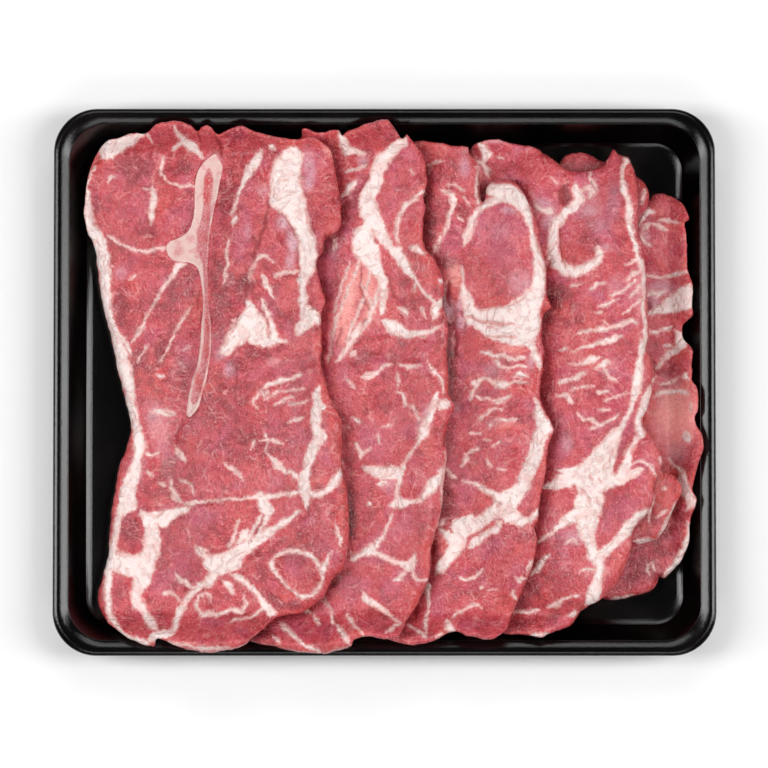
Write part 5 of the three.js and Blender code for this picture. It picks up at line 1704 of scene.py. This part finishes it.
# The bone's red middle as a chain of (x, y, width) in pixels, and its brighter red spots as soft ellipses.
channel = [
    (208, 166, 5), (208, 178, 9), (207, 190, 9), (206, 204, 7), (205, 218, 9), (202, 232, 12), (202, 248, 11),
    (205, 262, 6), (206, 290, 4.5), (207, 320, 6), (207, 345, 7), (204, 365, 8), (198, 385, 9), (193, 404, 7),
]
marrows = [
    (207, 180, 4, 7, 0, 1.2), (206, 195, 3.5, 8, 0, 1.1), (207, 214, 3, 5, 0, 0.5),
    (178, 249, 5, 5, 0, 0.5), (202, 236, 5, 6, 0, 0.5), (207, 325, 3, 16, 0, 0.6),
    (206, 350, 4, 9, 0, 0.8), (199, 382, 4.5, 13, 20, 0.8),
]


def makeBone():
    # a grid between the bone's two long sides, from just above the slice's underside to level with its top
    sides = {side: curveThrough(toBed(p), samples["boneEdge"]) for side, p in boneSides.items()}
    u, v = np.linspace(0, 1, bone["across"] + 1), np.linspace(0, 1, bone["along"] + 1)
    grid = blendSides(sides, u, v)
    rows, columns = grid.shape[:2]
    x, y = grid[..., 0].ravel(), grid[..., 1].ravel()
    inside = np.maximum(distanceInside(boneRing, x, y), 0)
    inside[rimOf(rows, columns).ravel()] = 0
    beneath = [fineRings[other] for other in names[1:]]
    middle = undersideHeight(beneath, x, y) + slab["thickness"] / 2
    insideSlice = distanceInside(fineRings["slice_1"], x, y)
    full = edgeFullness(np.maximum(insideSlice, surface["leastInside"]))
    surfaceTop = middle + slab["thickness"] / 2 * full + muscleRelief(x, y, 0) * full
    rounding = 1 - np.clip(inside / bone["edgeRounding"], 0, 1)
    top = surfaceTop - surface["settle"] + bone["rimRise"] - bone["edgeDrop"] * rounding**2
    dish = bone["dish"] * smoothStep((inside - bone["dishStart"]) / bone["dishSlope"])
    top = top - dish + bone["grainHeight"] * ripple(x, y, bone["grainSize"], seeds["bone"])
    low = middle - slab["thickness"] / 2 * full + surface["underBone"]
    upper = np.column_stack([x, y, top])
    lower = np.column_stack([x, y, low])
    points = np.vstack([upper, lower])
    count = rows * columns
    faces = gridFaces(rows, columns)
    under = faces[:, ::-1] + count
    number = np.arange(count).reshape(rows, columns)
    loop = np.concatenate([number[0, :-1], number[:-1, -1], number[-1, :0:-1], number[:0:-1, 0]])
    after = np.roll(loop, -1)
    wall = np.column_stack([loop, after, after + count, loop + count])
    tapers = (bone["channelTaper"], bone["channelTaper"])
    fields = {
        "rim": np.tile(inside, 2),
        "channel": np.tile(chainDepth(toBed(channel), x, y, tapers), 2),
        "marrow": np.tile(np.clip(softEllipses(marrows, x, y), 0, 1), 2),
    }
    return makeMesh("sawn_blade_bone", points, np.vstack([faces, under, wall]).tolist(), fields)


dress(makeBone(), "blade_bone", boneMaterial)
print("bone made")


# Floor, light and camera

studio = {
    "floorColour": (0.9, 0.9, 0.9, 1),
    "floorSide": 6.0,
    "floorRoughness": 0.9,
    "fill": 0.04,
    "exposure": 0.0,
    "boxes": [
        # where it stands, its two sides, its power
        ((-1.05, 0.0, 1.1), (0.5, 1.3), 15.4),
        ((1.05, 0.0, 1.1), (0.5, 1.3), 15.4),
        ((0.0, 1.1, 1.25), (1.2, 0.6), 5.4),
        ((0.0, -1.1, 1.25), (1.2, 0.6), 5.4),
    ],
}

view = {
    "target": (-0.0002, -0.0011, 0.02),
    "elevation": 87.0,
    "distance": 2.4,
    "sensor": 36.0,
    "clip": (0.1, 20),
    "width": photo["side"] * pixelSize * mm,
}


def addFloor():
    half = studio["floorSide"] / 2
    mesh = bpy.data.meshes.new("floor")
    corners = [(-half, -half, 0), (half, -half, 0), (half, half, 0), (-half, half, 0)]
    mesh.from_pydata(corners, [], [(0, 1, 2, 3)])
    floor = bpy.data.objects.new("floor", mesh)
    bpy.context.scene.collection.objects.link(floor)
    finish = {"Roughness": studio["floorRoughness"], "Base Color": studio["floorColour"]}
    mesh.materials.append(newMaterial("paleFloor", finish)[0])


def addLights():
    for number, (place, size, power) in enumerate(studio["boxes"]):
        lamp = bpy.data.lights.new(f"softbox_{number + 1}", "AREA")
        lamp.shape = "RECTANGLE"
        lamp.size, lamp.size_y = size
        lamp.energy = power
        holder = bpy.data.objects.new(lamp.name, lamp)
        holder.location = place
        holder.rotation_euler = (-Vector(place)).to_track_quat("-Z", "Y").to_euler()
        bpy.context.scene.collection.objects.link(holder)
    world = bpy.data.worlds.new("studio")
    bpy.context.scene.world = world
    world.use_nodes = True
    background = world.node_tree.nodes["Background"]
    background.inputs["Strength"].default_value = studio["fill"]
    background.inputs["Color"].default_value = (1, 1, 1, 1)


def addCamera():
    rise = math.radians(view["elevation"])
    toCamera = Vector((0, -math.cos(rise), math.sin(rise)))
    camera = bpy.data.cameras.new("camera")
    camera.sensor_width = view["sensor"]
    camera.lens = view["sensor"] * view["distance"] / view["width"]
    camera.clip_start, camera.clip_end = view["clip"]
    holder = bpy.data.objects.new("camera", camera)
    holder.location = Vector(view["target"]) + toCamera * view["distance"]
    holder.rotation_euler = toCamera.to_track_quat("Z", "Y").to_euler()
    bpy.context.scene.collection.objects.link(holder)
    bpy.context.scene.camera = holder


addFloor()
addLights()
addCamera()
bpy.context.scene.view_settings.view_transform = "Standard"
bpy.context.scene.view_settings.exposure = studio["exposure"]
print("stage ready")
